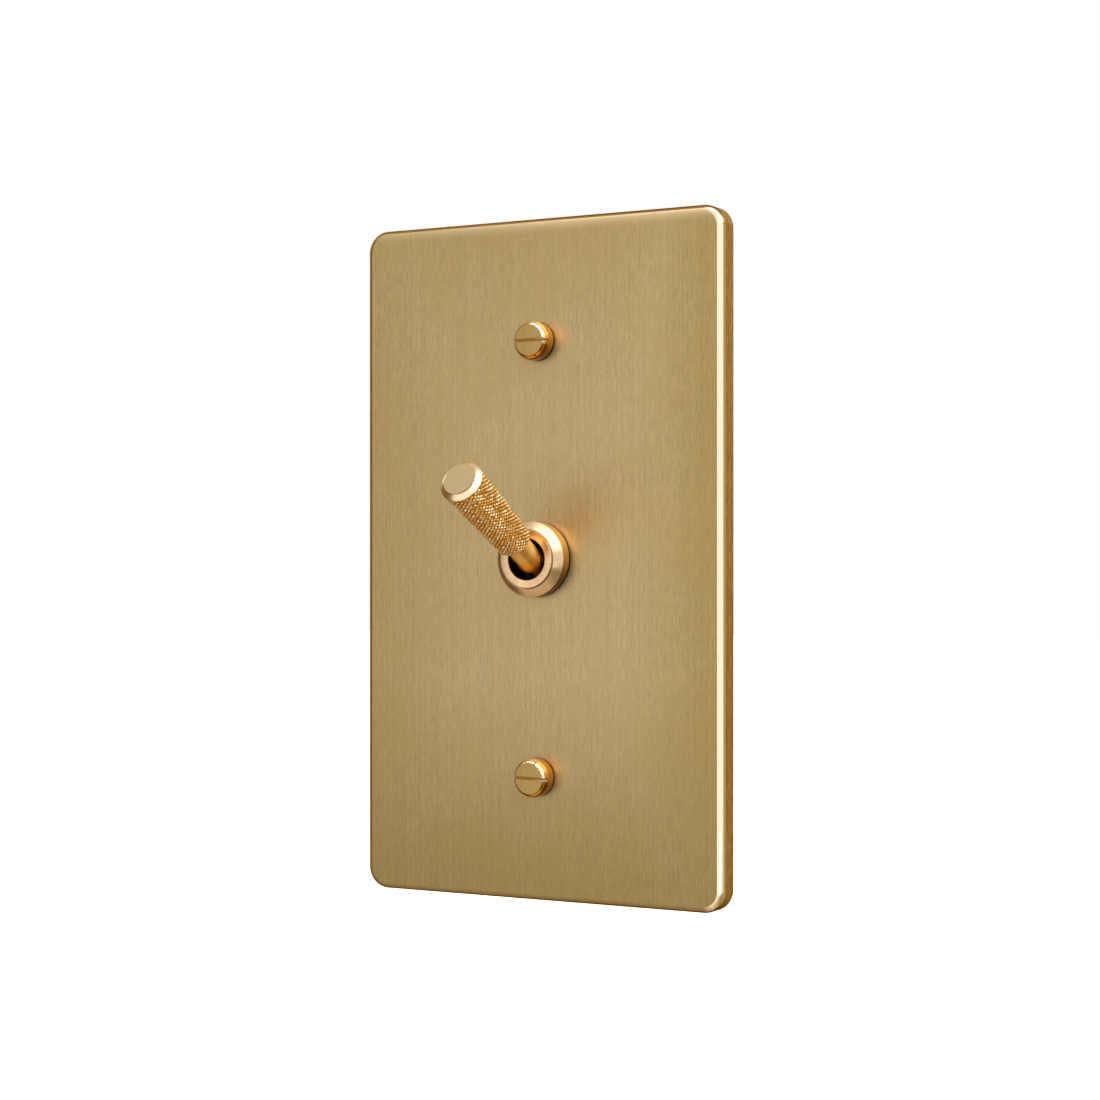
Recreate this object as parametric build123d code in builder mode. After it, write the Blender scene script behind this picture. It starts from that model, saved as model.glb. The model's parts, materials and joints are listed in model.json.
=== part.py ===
from build123d import *
from math import cos, hypot, radians, sin, tan
import os

# Toggle light switch: a brass wall plate with a knurled lever, and the two-way switch behind it.
# Millimetres. +Z runs up the plate, +Y into the wall, and the origin is the centre of the plate's back.
# A height is measured out of the wall, so height h lies at y = -h.

# Wall plate
plate_width = 78.0
plate_height = 130.5
plate_depth = 4.8
plate_corner_r = 4.2
plate_edge_r = 1.2
plate_web = 1.8
plate_rim = 3.0
pocket_corner_r = 2.0

# Plate screws
box_screw_spacing = 83.3
plate_screw_d = 3.5
plate_screw_length = 16.0
plate_screw_neck_d = 3.0
plate_screw_neck_spare = 0.3
plate_screw_hole_d = 4.0
plate_screw_head_d = 7.4
plate_screw_head_height = 3.5
plate_screw_wall_height = 2.35
plate_screw_mid_d = 6.8
plate_screw_mid_height = 3.05
plate_screw_flat_d = 5.9
plate_screw_slot_width = 0.6
plate_screw_slot_depth = 1.0
plate_screw_turns = (1.0, -2.0)

# Collar round the lever
collar_d = 14.4
collar_height = 4.4
collar_wall_height = 2.8
collar_land_d = 11.3
collar_opening_d = 8.0
collar_lip = 0.6

# Threaded bushing
bushing_thread_d = 12.0
bushing_bore_d = 8.0
bushing_flange_d = 17.0
bushing_flange = 1.2
bushing_boss_wall = 0.8
bore_behind_pivot = 3.0
thread_clear = 0.05
bushing_hole_clear = 0.15

# Lever and its trunnions
lever_tilt = 29.3
trunnion_d = 1.6
trunnion_span = 11.0
trunnion_clear = 0.05
stem_d = 4.8
heel_length = 2.35
heel_taper = 1.45
tail_d = 3.0
tail_length = 10.5
tail_bore_d = 2.06
tail_bore_depth = 7.5
swing_clear = 0.25

# Knurled grip
grip_start = 7.0
grip_length = 22.4
grip_tip_d = 8.4
grip_base_d = 7.1
grip_tip_chamfer = 1.05
grip_base_chamfer = 0.4
grip_spigot_d = 4.0
grip_spigot_length = 12.0
grip_spigot_clear = 0.03
grip_bore_spare = 0.3

# Plunger and its spring, in the lever's tail
plunger_d = 2.0
plunger_tip_r = 0.6
plunger_reach = 13.0
plunger_inside = 2.5
spring_wire_d = 0.4
spring_d = 1.9
spring_turns = 4
spring_end_gap = 0.05

# Rocking contact blade
rocker_tilt = 7.5
rocker_pivot_gap = 1.6
rocker_cam_clear = 0.06
rocker_width = 5.6
rocker_thickness = 0.8
rocker_ridge_r = 0.9
rocker_ridge_clear = 0.05
rocker_cradle_margin = 2.6
rocker_wing_end = 10.8

# Silver contact pads
contact_z = 9.0
contact_length = 3.4
contact_width = 4.2
contact_height = 0.9
contact_gap = 0.05

# Washers and earth tag behind the plate
lock_washer_d = 15.4
lock_washer = 0.6
lock_washer_teeth = 10
lock_washer_tooth_depth = 0.9
lock_washer_slot_width = 1.3
earth_tag = 0.6
earth_tag_d = 16.6
earth_tab_width = 6.4
earth_tab_length = 10.5
earth_screw_height = -4.0
earth_screw_d = 3.5
earth_screw_length = 2.6
earth_screw_clear = 1.05

# Case, cover frame and insulator
case_length = 34.0
case_width = 17.5
case_depth = 18.0
case_wall = 1.8
case_floor = 3.1
case_edge_r = 1.0
guide_rib = 1.2
guide_rib_length = 8.0
guide_rib_clear = 0.2
guide_rib_below_pivot = 0.6
barrier = 0.9
barrier_height = 2.0
barrier_z = 4.75
frame_sheet = 0.8
frame_leg_width = 10.0
frame_foot = 2.2
frame_clear = 0.05
insulator = 0.4
insulator_inset = 0.1

# Terminals and their screws
terminal_sheet = 0.9
terminal_width = 5.4
terminal_clear = 0.05
fixed_strap_z = 12.0
fixed_lug_end_z = 5.6
common_strap_z = 3.9
common_head_end_z = 1.8
common_head = 1.4
common_head_below_pivot = 0.5
common_lug_end_z = 2.9
terminal_screw_z = 8.6
terminal_screw_d = 3.0
terminal_screw_length = 3.2
terminal_hole_spare = 0.2

# Slotted screws of the terminals and the earth tag
screw_head_d = 5.4
screw_head_height = 2.0
screw_slot_width = 0.8
screw_slot_depth = 1.0
screw_thread_clear = 0.05

# Heights out of the wall
land_height = plate_depth + collar_height
bushing_front = land_height - collar_lip
pivot_height = bushing_front - trunnion_clear - trunnion_d / 2
web_back = plate_depth - plate_web
lock_washer_back = web_back - lock_washer
flange_front = lock_washer_back - earth_tag
frame_front = flange_front - bushing_flange
frame_back = frame_front - frame_sheet
case_front = frame_back - insulator
case_back = case_front - case_depth
cavity_floor = case_back + case_floor
lug_back = case_back - terminal_sheet

# Ends of the cover frame and the earth tag along the plate
leg_inner = case_length / 2 + frame_clear
leg_outer = leg_inner + frame_sheet
earth_tab_z = leg_outer + earth_screw_length + earth_screw_clear

# Lever and rocker geometry
lever_sin = sin(radians(lever_tilt))
lever_cos = cos(radians(lever_tilt))
rocker_sin = sin(radians(rocker_tilt))
rocker_cos = cos(radians(rocker_tilt))
rocker_height = pivot_height - plunger_reach - rocker_pivot_gap

# The plunger's round tip as the rocker sees it at the end of the stroke. The cradle is the arc through
# that point, its mirror image and the tip's deepest point, moved back by the tip's radius and a clearance.
tip_z = -plunger_reach * lever_sin
tip_rise = pivot_height - plunger_reach * lever_cos - rocker_height
cam_z = tip_z * rocker_cos + tip_rise * rocker_sin
cam_rise = tip_rise * rocker_cos - tip_z * rocker_sin - rocker_pivot_gap
cam_path_r = hypot(cam_z, cam_rise) ** 2 / (2 * cam_rise)
cradle_r = cam_path_r + plunger_tip_r + rocker_cam_clear
cradle_centre = rocker_pivot_gap + cam_path_r
wing_front = cradle_centre - cradle_r + rocker_cradle_margin + rocker_thickness / 2
wing_back = wing_front - rocker_thickness
pad_back = wing_back - contact_height


def side_section(height, turn):
    """The plane of (z, height) sections through a pivot at a height, turned about the pivot."""
    along = (0, -sin(radians(turn)), cos(radians(turn)))
    return Plane(origin=(0, -height, 0), x_dir=along, z_dir=(1, 0, 0))


# Half sections of turned pieces lie in (radius, height), side sections in (z, height)
turning_plane = Plane(origin=(0, 0, 0), x_dir=(1, 0, 0), z_dir=(0, 0, -1))
side_plane = side_section(0, 0)
pivot_plane = side_section(pivot_height, 0)
lever_plane = side_section(pivot_height, -lever_tilt)
lever_axis = Axis(lever_plane.origin, lever_plane.y_dir)
rocker_plane = side_section(rocker_height, rocker_tilt)
thrown_plane = side_section(rocker_height, -rocker_tilt)


def slot_half_length(height):
    """Half the length of the slot that the swinging tail needs at a height behind the pivot."""
    behind = pivot_height - height
    return behind * tan(radians(lever_tilt)) + tail_d / 2 / lever_cos + swing_clear


slot_half_width = tail_d / 2 + swing_clear
boss_width = 2 * (slot_half_width + bushing_boss_wall)
boss_length = 2 * (slot_half_length(frame_back) + bushing_boss_wall)


def face_of(points):
    """A closed flat face through corner points."""
    with BuildLine() as outline:
        Polyline(*points, close=True)
    make_face(outline.edges())


def slotted_screw(seat, shank_d, shank_length):
    """A cheese-head slotted screw whose seat plane has its normal out of the head."""
    half_section = Plane(origin=seat.origin, x_dir=seat.x_dir, z_dir=-seat.y_dir)
    with BuildSketch(half_section) as section:
        face_of(
            (
                (0, -shank_length),
                (shank_d / 2, -shank_length),
                (shank_d / 2, 0),
                (screw_head_d / 2, 0),
                (screw_head_d / 2, screw_head_height),
                (0, screw_head_height),
            )
        )
    revolve(section.sketch, axis=Axis(seat.origin, seat.z_dir))
    with BuildSketch(seat.offset(screw_head_height)) as slot:
        Rectangle(2 * screw_head_d, screw_slot_width)
    extrude(slot.sketch, amount=-screw_slot_depth, mode=Mode.SUBTRACT)


def fixed_terminal(contact_plane, side):
    """A strap with its contact tab at the top and its screw lug folded along the case's back."""
    tab_front = pad_back - contact_gap - contact_height
    strap_outer = side * fixed_strap_z
    strap_inner = side * (fixed_strap_z - terminal_sheet)
    tab_inner = side * (contact_z - contact_length / 2)
    strap_top = rocker_height - fixed_strap_z * rocker_sin + tab_front * rocker_cos
    with BuildSketch(contact_plane) as tab:
        face_of(
            (
                (tab_inner, tab_front),
                (strap_outer, tab_front),
                (strap_outer, tab_front - terminal_sheet),
                (tab_inner, tab_front - terminal_sheet),
            )
        )
    extrude(tab.sketch, amount=terminal_width / 2, both=True)
    with BuildSketch(side_plane) as strap:
        face_of(
            (
                (strap_outer, strap_top - terminal_sheet / 2),
                (strap_outer, lug_back),
                (side * fixed_lug_end_z, lug_back),
                (side * fixed_lug_end_z, case_back),
                (strap_inner, case_back),
                (strap_inner, strap_top - terminal_sheet / 2),
            )
        )
    extrude(strap.sketch, amount=terminal_width / 2, both=True)
    with BuildSketch(Plane.XZ.offset(lug_back)) as screw_hole:
        with Locations((0, side * terminal_screw_z)):
            Circle(terminal_screw_d / 2 + screw_thread_clear)
    extrude(screw_hole.sketch, amount=terminal_sheet, mode=Mode.SUBTRACT)


def contact_pad(plane, z, back):
    """A silver pad on a section plane, reaching out from its back."""
    centre = plane.from_local_coords((z, back, 0))
    with BuildSketch(Plane(origin=centre, x_dir=plane.z_dir, z_dir=plane.y_dir)) as pad:
        Rectangle(contact_width, contact_length)
    extrude(pad.sketch, amount=contact_height)


with BuildPart() as face_plate:
    with BuildSketch(Plane.XZ):
        RectangleRounded(plate_width, plate_height, plate_corner_r)
    extrude(amount=plate_depth)
    front_outline = face_plate.faces().sort_by(Axis.Y)[0].edges()
    fillet(front_outline, plate_edge_r)
    with BuildSketch(Plane.XZ):
        RectangleRounded(plate_width - 2 * plate_rim, plate_height - 2 * plate_rim, pocket_corner_r)
    extrude(amount=web_back, mode=Mode.SUBTRACT)
    with BuildSketch(Plane.XZ):
        with GridLocations(0, box_screw_spacing, 1, 2):
            Circle(plate_screw_hole_d / 2)
        Circle(bushing_thread_d / 2 + bushing_hole_clear)
    extrude(amount=plate_depth, mode=Mode.SUBTRACT)
face_plate.part.label = "face_plate"

with BuildPart() as plate_screws:
    neck_length = plate_web + plate_screw_neck_spare
    for screw_side, screw_turn in zip((1, -1), plate_screw_turns):
        screw_z = screw_side * box_screw_spacing / 2
        seat = Plane(origin=(0, -plate_depth, screw_z), x_dir=(1, 0, 0), z_dir=(0, -1, 0))
        with BuildSketch(Plane(origin=seat.origin, x_dir=seat.x_dir, z_dir=-seat.y_dir)):
            face_of(
                (
                    (0, -plate_screw_length),
                    (plate_screw_d / 2, -plate_screw_length),
                    (plate_screw_d / 2, -neck_length),
                    (plate_screw_neck_d / 2, -neck_length),
                    (plate_screw_neck_d / 2, 0),
                    (plate_screw_head_d / 2, 0),
                    (plate_screw_head_d / 2, plate_screw_wall_height),
                    (plate_screw_mid_d / 2, plate_screw_mid_height),
                    (plate_screw_flat_d / 2, plate_screw_head_height),
                    (0, plate_screw_head_height),
                )
            )
        revolve(axis=Axis(seat.origin, seat.z_dir))
        with BuildSketch(seat.offset(plate_screw_head_height)):
            Rectangle(2 * plate_screw_head_d, plate_screw_slot_width, rotation=screw_turn)
        extrude(amount=-plate_screw_slot_depth, mode=Mode.SUBTRACT)
plate_screws.part.label = "plate_screws"

with BuildPart() as collar:
    with BuildSketch(turning_plane):
        face_of(
            (
                (bushing_thread_d / 2 + thread_clear, plate_depth),
                (collar_d / 2, plate_depth),
                (collar_d / 2, plate_depth + collar_wall_height),
                (collar_land_d / 2, land_height),
                (collar_opening_d / 2, land_height),
                (collar_opening_d / 2, bushing_front),
                (bushing_thread_d / 2 + thread_clear, bushing_front),
            )
        )
    revolve(axis=Axis.Y)
collar.part.label = "collar"

with BuildPart() as bushing:
    bore_floor = pivot_height - bore_behind_pivot
    with BuildSketch(turning_plane):
        face_of(
            (
                (0, frame_front),
                (bushing_flange_d / 2, frame_front),
                (bushing_flange_d / 2, flange_front),
                (bushing_thread_d / 2, flange_front),
                (bushing_thread_d / 2, bushing_front),
                (bushing_bore_d / 2, bushing_front),
                (bushing_bore_d / 2, bore_floor),
                (0, bore_floor),
            )
        )
    revolve(axis=Axis.Y)
    # A boss keys the bushing in the cover frame's window
    with BuildSketch(Plane.XZ.offset(frame_back)):
        Rectangle(boss_width, boss_length)
    extrude(amount=frame_sheet)
    # The slot widens towards the back with the swing of the lever's tail
    with BuildSketch(side_plane):
        face_of(
            (
                (slot_half_length(bore_floor), bore_floor),
                (slot_half_length(frame_back), frame_back),
                (-slot_half_length(frame_back), frame_back),
                (-slot_half_length(bore_floor), bore_floor),
            )
        )
    extrude(amount=slot_half_width, both=True, mode=Mode.SUBTRACT)
    # Two notches in the front rim carry the trunnions, and the collar's lip closes them
    notch_r = trunnion_d / 2 + trunnion_clear
    with BuildSketch(pivot_plane):
        Circle(notch_r)
        with Locations((0, (bushing_front - pivot_height) / 2)):
            Rectangle(2 * notch_r, bushing_front - pivot_height)
    extrude(amount=bushing_thread_d / 2, both=True, mode=Mode.SUBTRACT)
bushing.part.label = "bushing"

with BuildPart() as lock_washer_ring:
    lock_washer_bore_r = bushing_thread_d / 2 + bushing_hole_clear
    with BuildSketch(Plane.XZ.offset(lock_washer_back)):
        Circle(lock_washer_d / 2)
        Circle(lock_washer_bore_r, mode=Mode.SUBTRACT)
        with PolarLocations(lock_washer_bore_r, lock_washer_teeth):
            Rectangle(2 * lock_washer_tooth_depth, lock_washer_slot_width, mode=Mode.SUBTRACT)
    extrude(amount=lock_washer)
lock_washer_ring.part.label = "lock_washer"

with BuildPart() as earth_tag_strip:
    tab_outer = -earth_tab_z
    with BuildSketch(Plane.XZ.offset(flange_front)):
        Circle(earth_tag_d / 2)
        with Locations((0, tab_outer / 2)):
            Rectangle(earth_tab_width, earth_tab_z)
        Circle(bushing_thread_d / 2 + bushing_hole_clear, mode=Mode.SUBTRACT)
    extrude(amount=earth_tag)
    with BuildSketch(side_plane):
        with Locations((tab_outer, flange_front + earth_tag)):
            Rectangle(earth_tag, earth_tab_length, align=(Align.MIN, Align.MAX))
    extrude(amount=earth_tab_width / 2, both=True)
    with BuildSketch(Plane.XY.offset(tab_outer)):
        with Locations((0, -earth_screw_height)):
            Circle(earth_screw_d / 2 + screw_thread_clear)
    extrude(amount=earth_tag, mode=Mode.SUBTRACT)
earth_tag_strip.part.label = "earth_tag"

with BuildPart() as earth_screw:
    earth_seat = Plane(origin=(0, -earth_screw_height, -earth_tab_z), x_dir=(1, 0, 0), z_dir=(0, 0, -1))
    slotted_screw(earth_seat, earth_screw_d, earth_screw_length)
earth_screw.part.label = "earth_screw"

with BuildPart() as lever:
    with BuildSketch(lever_plane):
        face_of(
            (
                (0, grip_start + grip_spigot_length),
                (grip_spigot_d / 2, grip_start + grip_spigot_length),
                (grip_spigot_d / 2, grip_start),
                (stem_d / 2, grip_start),
                (stem_d / 2, heel_taper - heel_length),
                (tail_d / 2, -heel_length),
                (tail_d / 2, -tail_length),
                (tail_bore_d / 2, -tail_length),
                (tail_bore_d / 2, tail_bore_depth - tail_length),
                (0, tail_bore_depth - tail_length),
            )
        )
    revolve(axis=lever_axis)
    with BuildSketch(pivot_plane):
        Circle(trunnion_d / 2)
    extrude(amount=trunnion_span / 2, both=True)
lever.part.label = "lever"

with BuildPart() as knurled_grip:
    grip_tip = grip_start + grip_length
    grip_bore_r = grip_spigot_d / 2 + grip_spigot_clear
    grip_bore_end = grip_start + grip_spigot_length + grip_bore_spare
    with BuildSketch(lever_plane):
        face_of(
            (
                (grip_bore_r, grip_start),
                (grip_base_d / 2 - grip_base_chamfer, grip_start),
                (grip_base_d / 2, grip_start + grip_base_chamfer),
                (grip_tip_d / 2, grip_tip - grip_tip_chamfer),
                (grip_tip_d / 2 - grip_tip_chamfer, grip_tip),
                (0, grip_tip),
                (0, grip_bore_end),
                (grip_bore_r, grip_bore_end),
            )
        )
    revolve(axis=lever_axis)
knurled_grip.part.label = "knurled_grip"

with BuildPart() as plunger:
    plunger_back = plunger_inside - tail_length
    # A right-angled cone leads from the pin to its round tip
    cone_r = plunger_tip_r * sin(radians(45))
    cone_end = -plunger_reach - cone_r
    with BuildSketch(lever_plane):
        face_of(
            (
                (0, plunger_back),
                (plunger_d / 2, plunger_back),
                (plunger_d / 2, cone_end + plunger_d / 2 - cone_r),
                (cone_r, cone_end),
                (0, cone_end),
            )
        )
    revolve(axis=lever_axis)
    with Locations(lever_plane.from_local_coords((0, -plunger_reach, 0))):
        Sphere(plunger_tip_r)
plunger.part.label = "plunger"

with BuildPart() as plunger_spring:
    spring_start = plunger_back + spring_end_gap + spring_wire_d / 2
    spring_end = tail_bore_depth - tail_length - spring_end_gap - spring_wire_d / 2
    spring_r = (spring_d - spring_wire_d) / 2
    spring_length = spring_end - spring_start
    with BuildLine():
        coil = Helix(
            pitch=spring_length / spring_turns,
            height=spring_length,
            radius=spring_r,
            center=lever_plane.from_local_coords((0, spring_start, 0)),
            direction=lever_plane.y_dir,
        )
    with BuildSketch(Plane(origin=coil @ 0, z_dir=coil % 0)):
        RegularPolygon(spring_wire_d / 2, 4)
    sweep(path=coil, is_frenet=True)
plunger_spring.part.label = "plunger_spring"

with BuildPart() as rocker_blade:
    cradle_back_r = cradle_r + rocker_thickness
    with BuildSketch(rocker_plane):
        with Locations((0, cradle_centre)):
            Circle(cradle_back_r)
        with Locations((0, wing_front)):
            Rectangle(4 * cradle_back_r, 4 * cradle_back_r, align=(Align.CENTER, Align.MIN), mode=Mode.SUBTRACT)
        Circle(rocker_ridge_r)
        with Locations((0, wing_front)):
            Rectangle(2 * rocker_wing_end, rocker_thickness, align=(Align.CENTER, Align.MAX))
        with Locations((0, cradle_centre)):
            Circle(cradle_r, mode=Mode.SUBTRACT)
    extrude(amount=rocker_width / 2, both=True)
rocker_blade.part.label = "rocker_blade"

with BuildPart() as rocker_contacts:
    for contact_side in (1, -1):
        contact_pad(rocker_plane, contact_side * contact_z, pad_back)
rocker_contacts.part.label = "rocker_contacts"

with BuildPart() as fixed_contacts:
    fixed_back = pad_back - contact_gap - contact_height
    contact_pad(rocker_plane, -contact_z, fixed_back)
    contact_pad(thrown_plane, contact_z, fixed_back)
fixed_contacts.part.label = "fixed_contacts"

with BuildPart() as lower_terminal:
    fixed_terminal(rocker_plane, -1)
lower_terminal.part.label = "lower_terminal"

with BuildPart() as upper_terminal:
    fixed_terminal(thrown_plane, 1)
upper_terminal.part.label = "upper_terminal"

with BuildPart() as common_terminal:
    head_front = rocker_height - common_head_below_pivot
    common_strap_inner = -common_strap_z + terminal_sheet
    with BuildSketch(side_plane):
        face_of(
            (
                (-common_strap_z, head_front),
                (common_head_end_z, head_front),
                (common_head_end_z, head_front - common_head),
                (common_strap_inner, head_front - common_head),
                (common_strap_inner, case_back),
                (common_lug_end_z, case_back),
                (common_lug_end_z, lug_back),
                (-common_strap_z, lug_back),
            )
        )
        with Locations((0, rocker_height)):
            Circle(rocker_ridge_r + rocker_ridge_clear, mode=Mode.SUBTRACT)
    extrude(amount=terminal_width / 2, both=True)
    with BuildSketch(Plane.XZ.offset(lug_back)):
        Circle(terminal_screw_d / 2 + screw_thread_clear)
    extrude(amount=terminal_sheet, mode=Mode.SUBTRACT)
common_terminal.part.label = "common_terminal"

with BuildPart() as terminal_screws:
    for screw_z in (-terminal_screw_z, 0, terminal_screw_z):
        lug_seat = Plane(origin=(0, -lug_back, screw_z), x_dir=(1, 0, 0), z_dir=(0, 1, 0))
        slotted_screw(lug_seat, terminal_screw_d, terminal_screw_length)
terminal_screws.part.label = "terminal_screws"

with BuildPart() as switch_case:
    with BuildSketch(Plane.XZ.offset(case_front)):
        RectangleRounded(case_width, case_length, case_edge_r)
    extrude(amount=-case_depth)
    with BuildSketch(Plane.XZ.offset(case_front)):
        Rectangle(case_width - 2 * case_wall, case_length - 2 * case_wall)
    extrude(amount=cavity_floor - case_front, mode=Mode.SUBTRACT)
    # Two ribs guide the rocker's sides
    rib_x = rocker_width / 2 + guide_rib_clear + guide_rib / 2
    with BuildSketch(Plane.XZ.offset(cavity_floor)):
        with GridLocations(2 * rib_x, 0, 2, 1):
            Rectangle(guide_rib, guide_rib_length)
    extrude(amount=rocker_height - guide_rib_below_pivot - cavity_floor)
    # Barriers between the terminals on the back
    with BuildSketch(Plane.XZ.offset(case_back)):
        with GridLocations(0, 2 * barrier_z, 1, 2):
            Rectangle(case_width - 2 * case_edge_r, barrier)
    extrude(amount=-barrier_height)
    # Slots for the straps and blind recesses for the screw ends, in the floor
    strap_middles = (
        -common_strap_z + terminal_sheet / 2,
        -fixed_strap_z + terminal_sheet / 2,
        fixed_strap_z - terminal_sheet / 2,
    )
    with BuildSketch(Plane.XZ.offset(case_back)):
        for strap_middle in strap_middles:
            with Locations((0, strap_middle)):
                Rectangle(terminal_width + 2 * terminal_clear, terminal_sheet + 2 * terminal_clear)
    extrude(amount=case_floor, mode=Mode.SUBTRACT)
    terminal_recess = terminal_screw_d + 2 * terminal_hole_spare
    with BuildSketch(Plane.XZ.offset(case_back)):
        with GridLocations(0, terminal_screw_z, 1, 3):
            Rectangle(terminal_recess, terminal_recess)
    extrude(amount=terminal_screw_length - terminal_sheet + terminal_hole_spare, mode=Mode.SUBTRACT)
switch_case.part.label = "switch_case"

with BuildPart() as insulator_sheet:
    with BuildSketch(Plane.XZ.offset(case_front)):
        Rectangle(case_width - 2 * insulator_inset, case_length - 2 * insulator_inset)
        insulator_slot_length = 2 * (slot_half_length(case_front) + swing_clear)
        Rectangle(2 * (slot_half_width + swing_clear), insulator_slot_length, mode=Mode.SUBTRACT)
    extrude(amount=insulator)
insulator_sheet.part.label = "insulator_sheet"

with BuildPart() as cover_frame:
    foot_front = case_back - frame_clear
    with BuildSketch(Plane.XZ.offset(frame_back)):
        Rectangle(case_width, 2 * leg_outer)
        Rectangle(boss_width + 2 * frame_clear, boss_length + 2 * frame_clear, mode=Mode.SUBTRACT)
    extrude(amount=frame_sheet)
    with BuildSketch(side_plane):
        for leg_side in (1, -1):
            face_of(
                (
                    (leg_side * leg_inner, frame_back),
                    (leg_side * leg_outer, frame_back),
                    (leg_side * leg_outer, foot_front - frame_sheet),
                    (leg_side * (leg_outer - frame_foot), foot_front - frame_sheet),
                    (leg_side * (leg_outer - frame_foot), foot_front),
                    (leg_side * leg_inner, foot_front),
                )
            )
    extrude(amount=frame_leg_width / 2, both=True)
cover_frame.part.label = "cover_frame"

pieces = (
    face_plate,
    plate_screws,
    collar,
    bushing,
    lock_washer_ring,
    earth_tag_strip,
    earth_screw,
    lever,
    knurled_grip,
    plunger,
    plunger_spring,
    rocker_blade,
    rocker_contacts,
    fixed_contacts,
    lower_terminal,
    upper_terminal,
    common_terminal,
    terminal_screws,
    switch_case,
    insulator_sheet,
    cover_frame,
)

os.makedirs("parts", exist_ok=True)
for piece in pieces:
    export_step(piece.part, f"parts/{piece.part.label}.step")
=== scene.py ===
"""Finished pieces of a brass toggle light switch and its studio, laid out as an add-on."""

import json
import math

import bmesh
import bpy
from bpy.props import FloatProperty, FloatVectorProperty, IntProperty, PointerProperty
from mathutils import Matrix, Vector


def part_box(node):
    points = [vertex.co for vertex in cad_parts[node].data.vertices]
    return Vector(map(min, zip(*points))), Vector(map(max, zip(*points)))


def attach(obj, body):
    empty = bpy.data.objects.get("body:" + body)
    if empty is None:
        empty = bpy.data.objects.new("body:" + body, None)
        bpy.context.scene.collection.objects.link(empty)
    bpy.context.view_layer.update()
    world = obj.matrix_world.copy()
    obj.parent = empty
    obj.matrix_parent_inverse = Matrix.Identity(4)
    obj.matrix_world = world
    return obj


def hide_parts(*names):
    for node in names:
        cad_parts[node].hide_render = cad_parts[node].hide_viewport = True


bl_info = {
    "name": "Toggle Light Switch",
    "version": (1, 0, 0),
    "blender": (4, 5, 0),
    "location": "View3D > Sidebar > Switch",
    "description": "Builds the finished pieces of a brass toggle light switch and its studio",
    "category": "Object",
}

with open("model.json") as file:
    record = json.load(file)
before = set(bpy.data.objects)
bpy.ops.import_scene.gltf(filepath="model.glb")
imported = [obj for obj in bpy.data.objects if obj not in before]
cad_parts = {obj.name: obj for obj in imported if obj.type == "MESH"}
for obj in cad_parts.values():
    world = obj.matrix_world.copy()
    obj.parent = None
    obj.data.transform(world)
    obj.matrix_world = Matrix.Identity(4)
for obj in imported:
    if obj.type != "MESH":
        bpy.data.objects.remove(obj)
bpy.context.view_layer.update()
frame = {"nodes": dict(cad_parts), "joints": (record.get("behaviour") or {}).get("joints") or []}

MM = 0.001
TAU = 2 * math.pi
SMOOTH_ANGLE = math.radians(28)
FLAT_ANGLE = math.radians(1)
WELD = 1e-6
SCREW_SEGMENTS = 96
SHANK_SEGMENTS = 36
THREAD_STEPS = 6
POINT_LENGTH = 0.4 * MM
POINT_TAPER = 0.3 * MM
SEATED = 0.05 * MM
THREAD_DEPTH = 0.5
SLOT_EASE = 0.06
COIL_STEPS = 32
WIRE_SIDES = 12
TURNED_MAP = "turned"
MAP_LENGTH = 10 * MM

# Places that the solids give
PLATE_LOW, PLATE_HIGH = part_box("face_plate")
PLATE_FRONT = PLATE_LOW.y
COLLAR_LOW, COLLAR_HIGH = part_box("collar")
TOGGLE_JOINT = next(joint for joint in frame["joints"] if joint["name"] == "toggle_tilt")
PIVOT = Vector(TOGGLE_JOINT["pos_m"])
LEVER_TILT = math.radians(TOGGLE_JOINT["range_deg"][1]) / 2
LEVER_AXIS = Vector((0, -math.cos(LEVER_TILT), math.sin(LEVER_TILT)))
OUT_OF_WALL = Vector((0, -1, 0))

# Colours of painted shadow lines, of painted shade inside the bushing's bore, and of the dark trunnions out
# of sight
DARK_LINE = (0.032, 0.014, 0.004)
BLACK_PIN = (0.03, 0.02, 0.014)
BORE_SHADE = (0.035, 0.02, 0.012)


def length(name, description, default):
    """A size that a user can change, its default in millimetres."""
    return FloatProperty(name=name, description=description, default=default * MM, unit="LENGTH", precision=5)


def angle(name, description, default):
    """An angle that a user can change, its default in degrees."""
    return FloatProperty(name=name, description=description, default=math.radians(default), subtype="ANGLE")


def number(name, description, default, **limits):
    """A plain number that a user can change."""
    return FloatProperty(name=name, description=description, default=default, **limits)


def count(name, description, default, **limits):
    """A whole number that a user can change."""
    return IntProperty(name=name, description=description, default=default, **limits)


def colour(name, description, default):
    """A linear colour that a user can change."""
    return FloatVectorProperty(
        name=name, description=description, default=default, subtype="COLOR", size=3, min=0, max=1
    )


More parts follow.
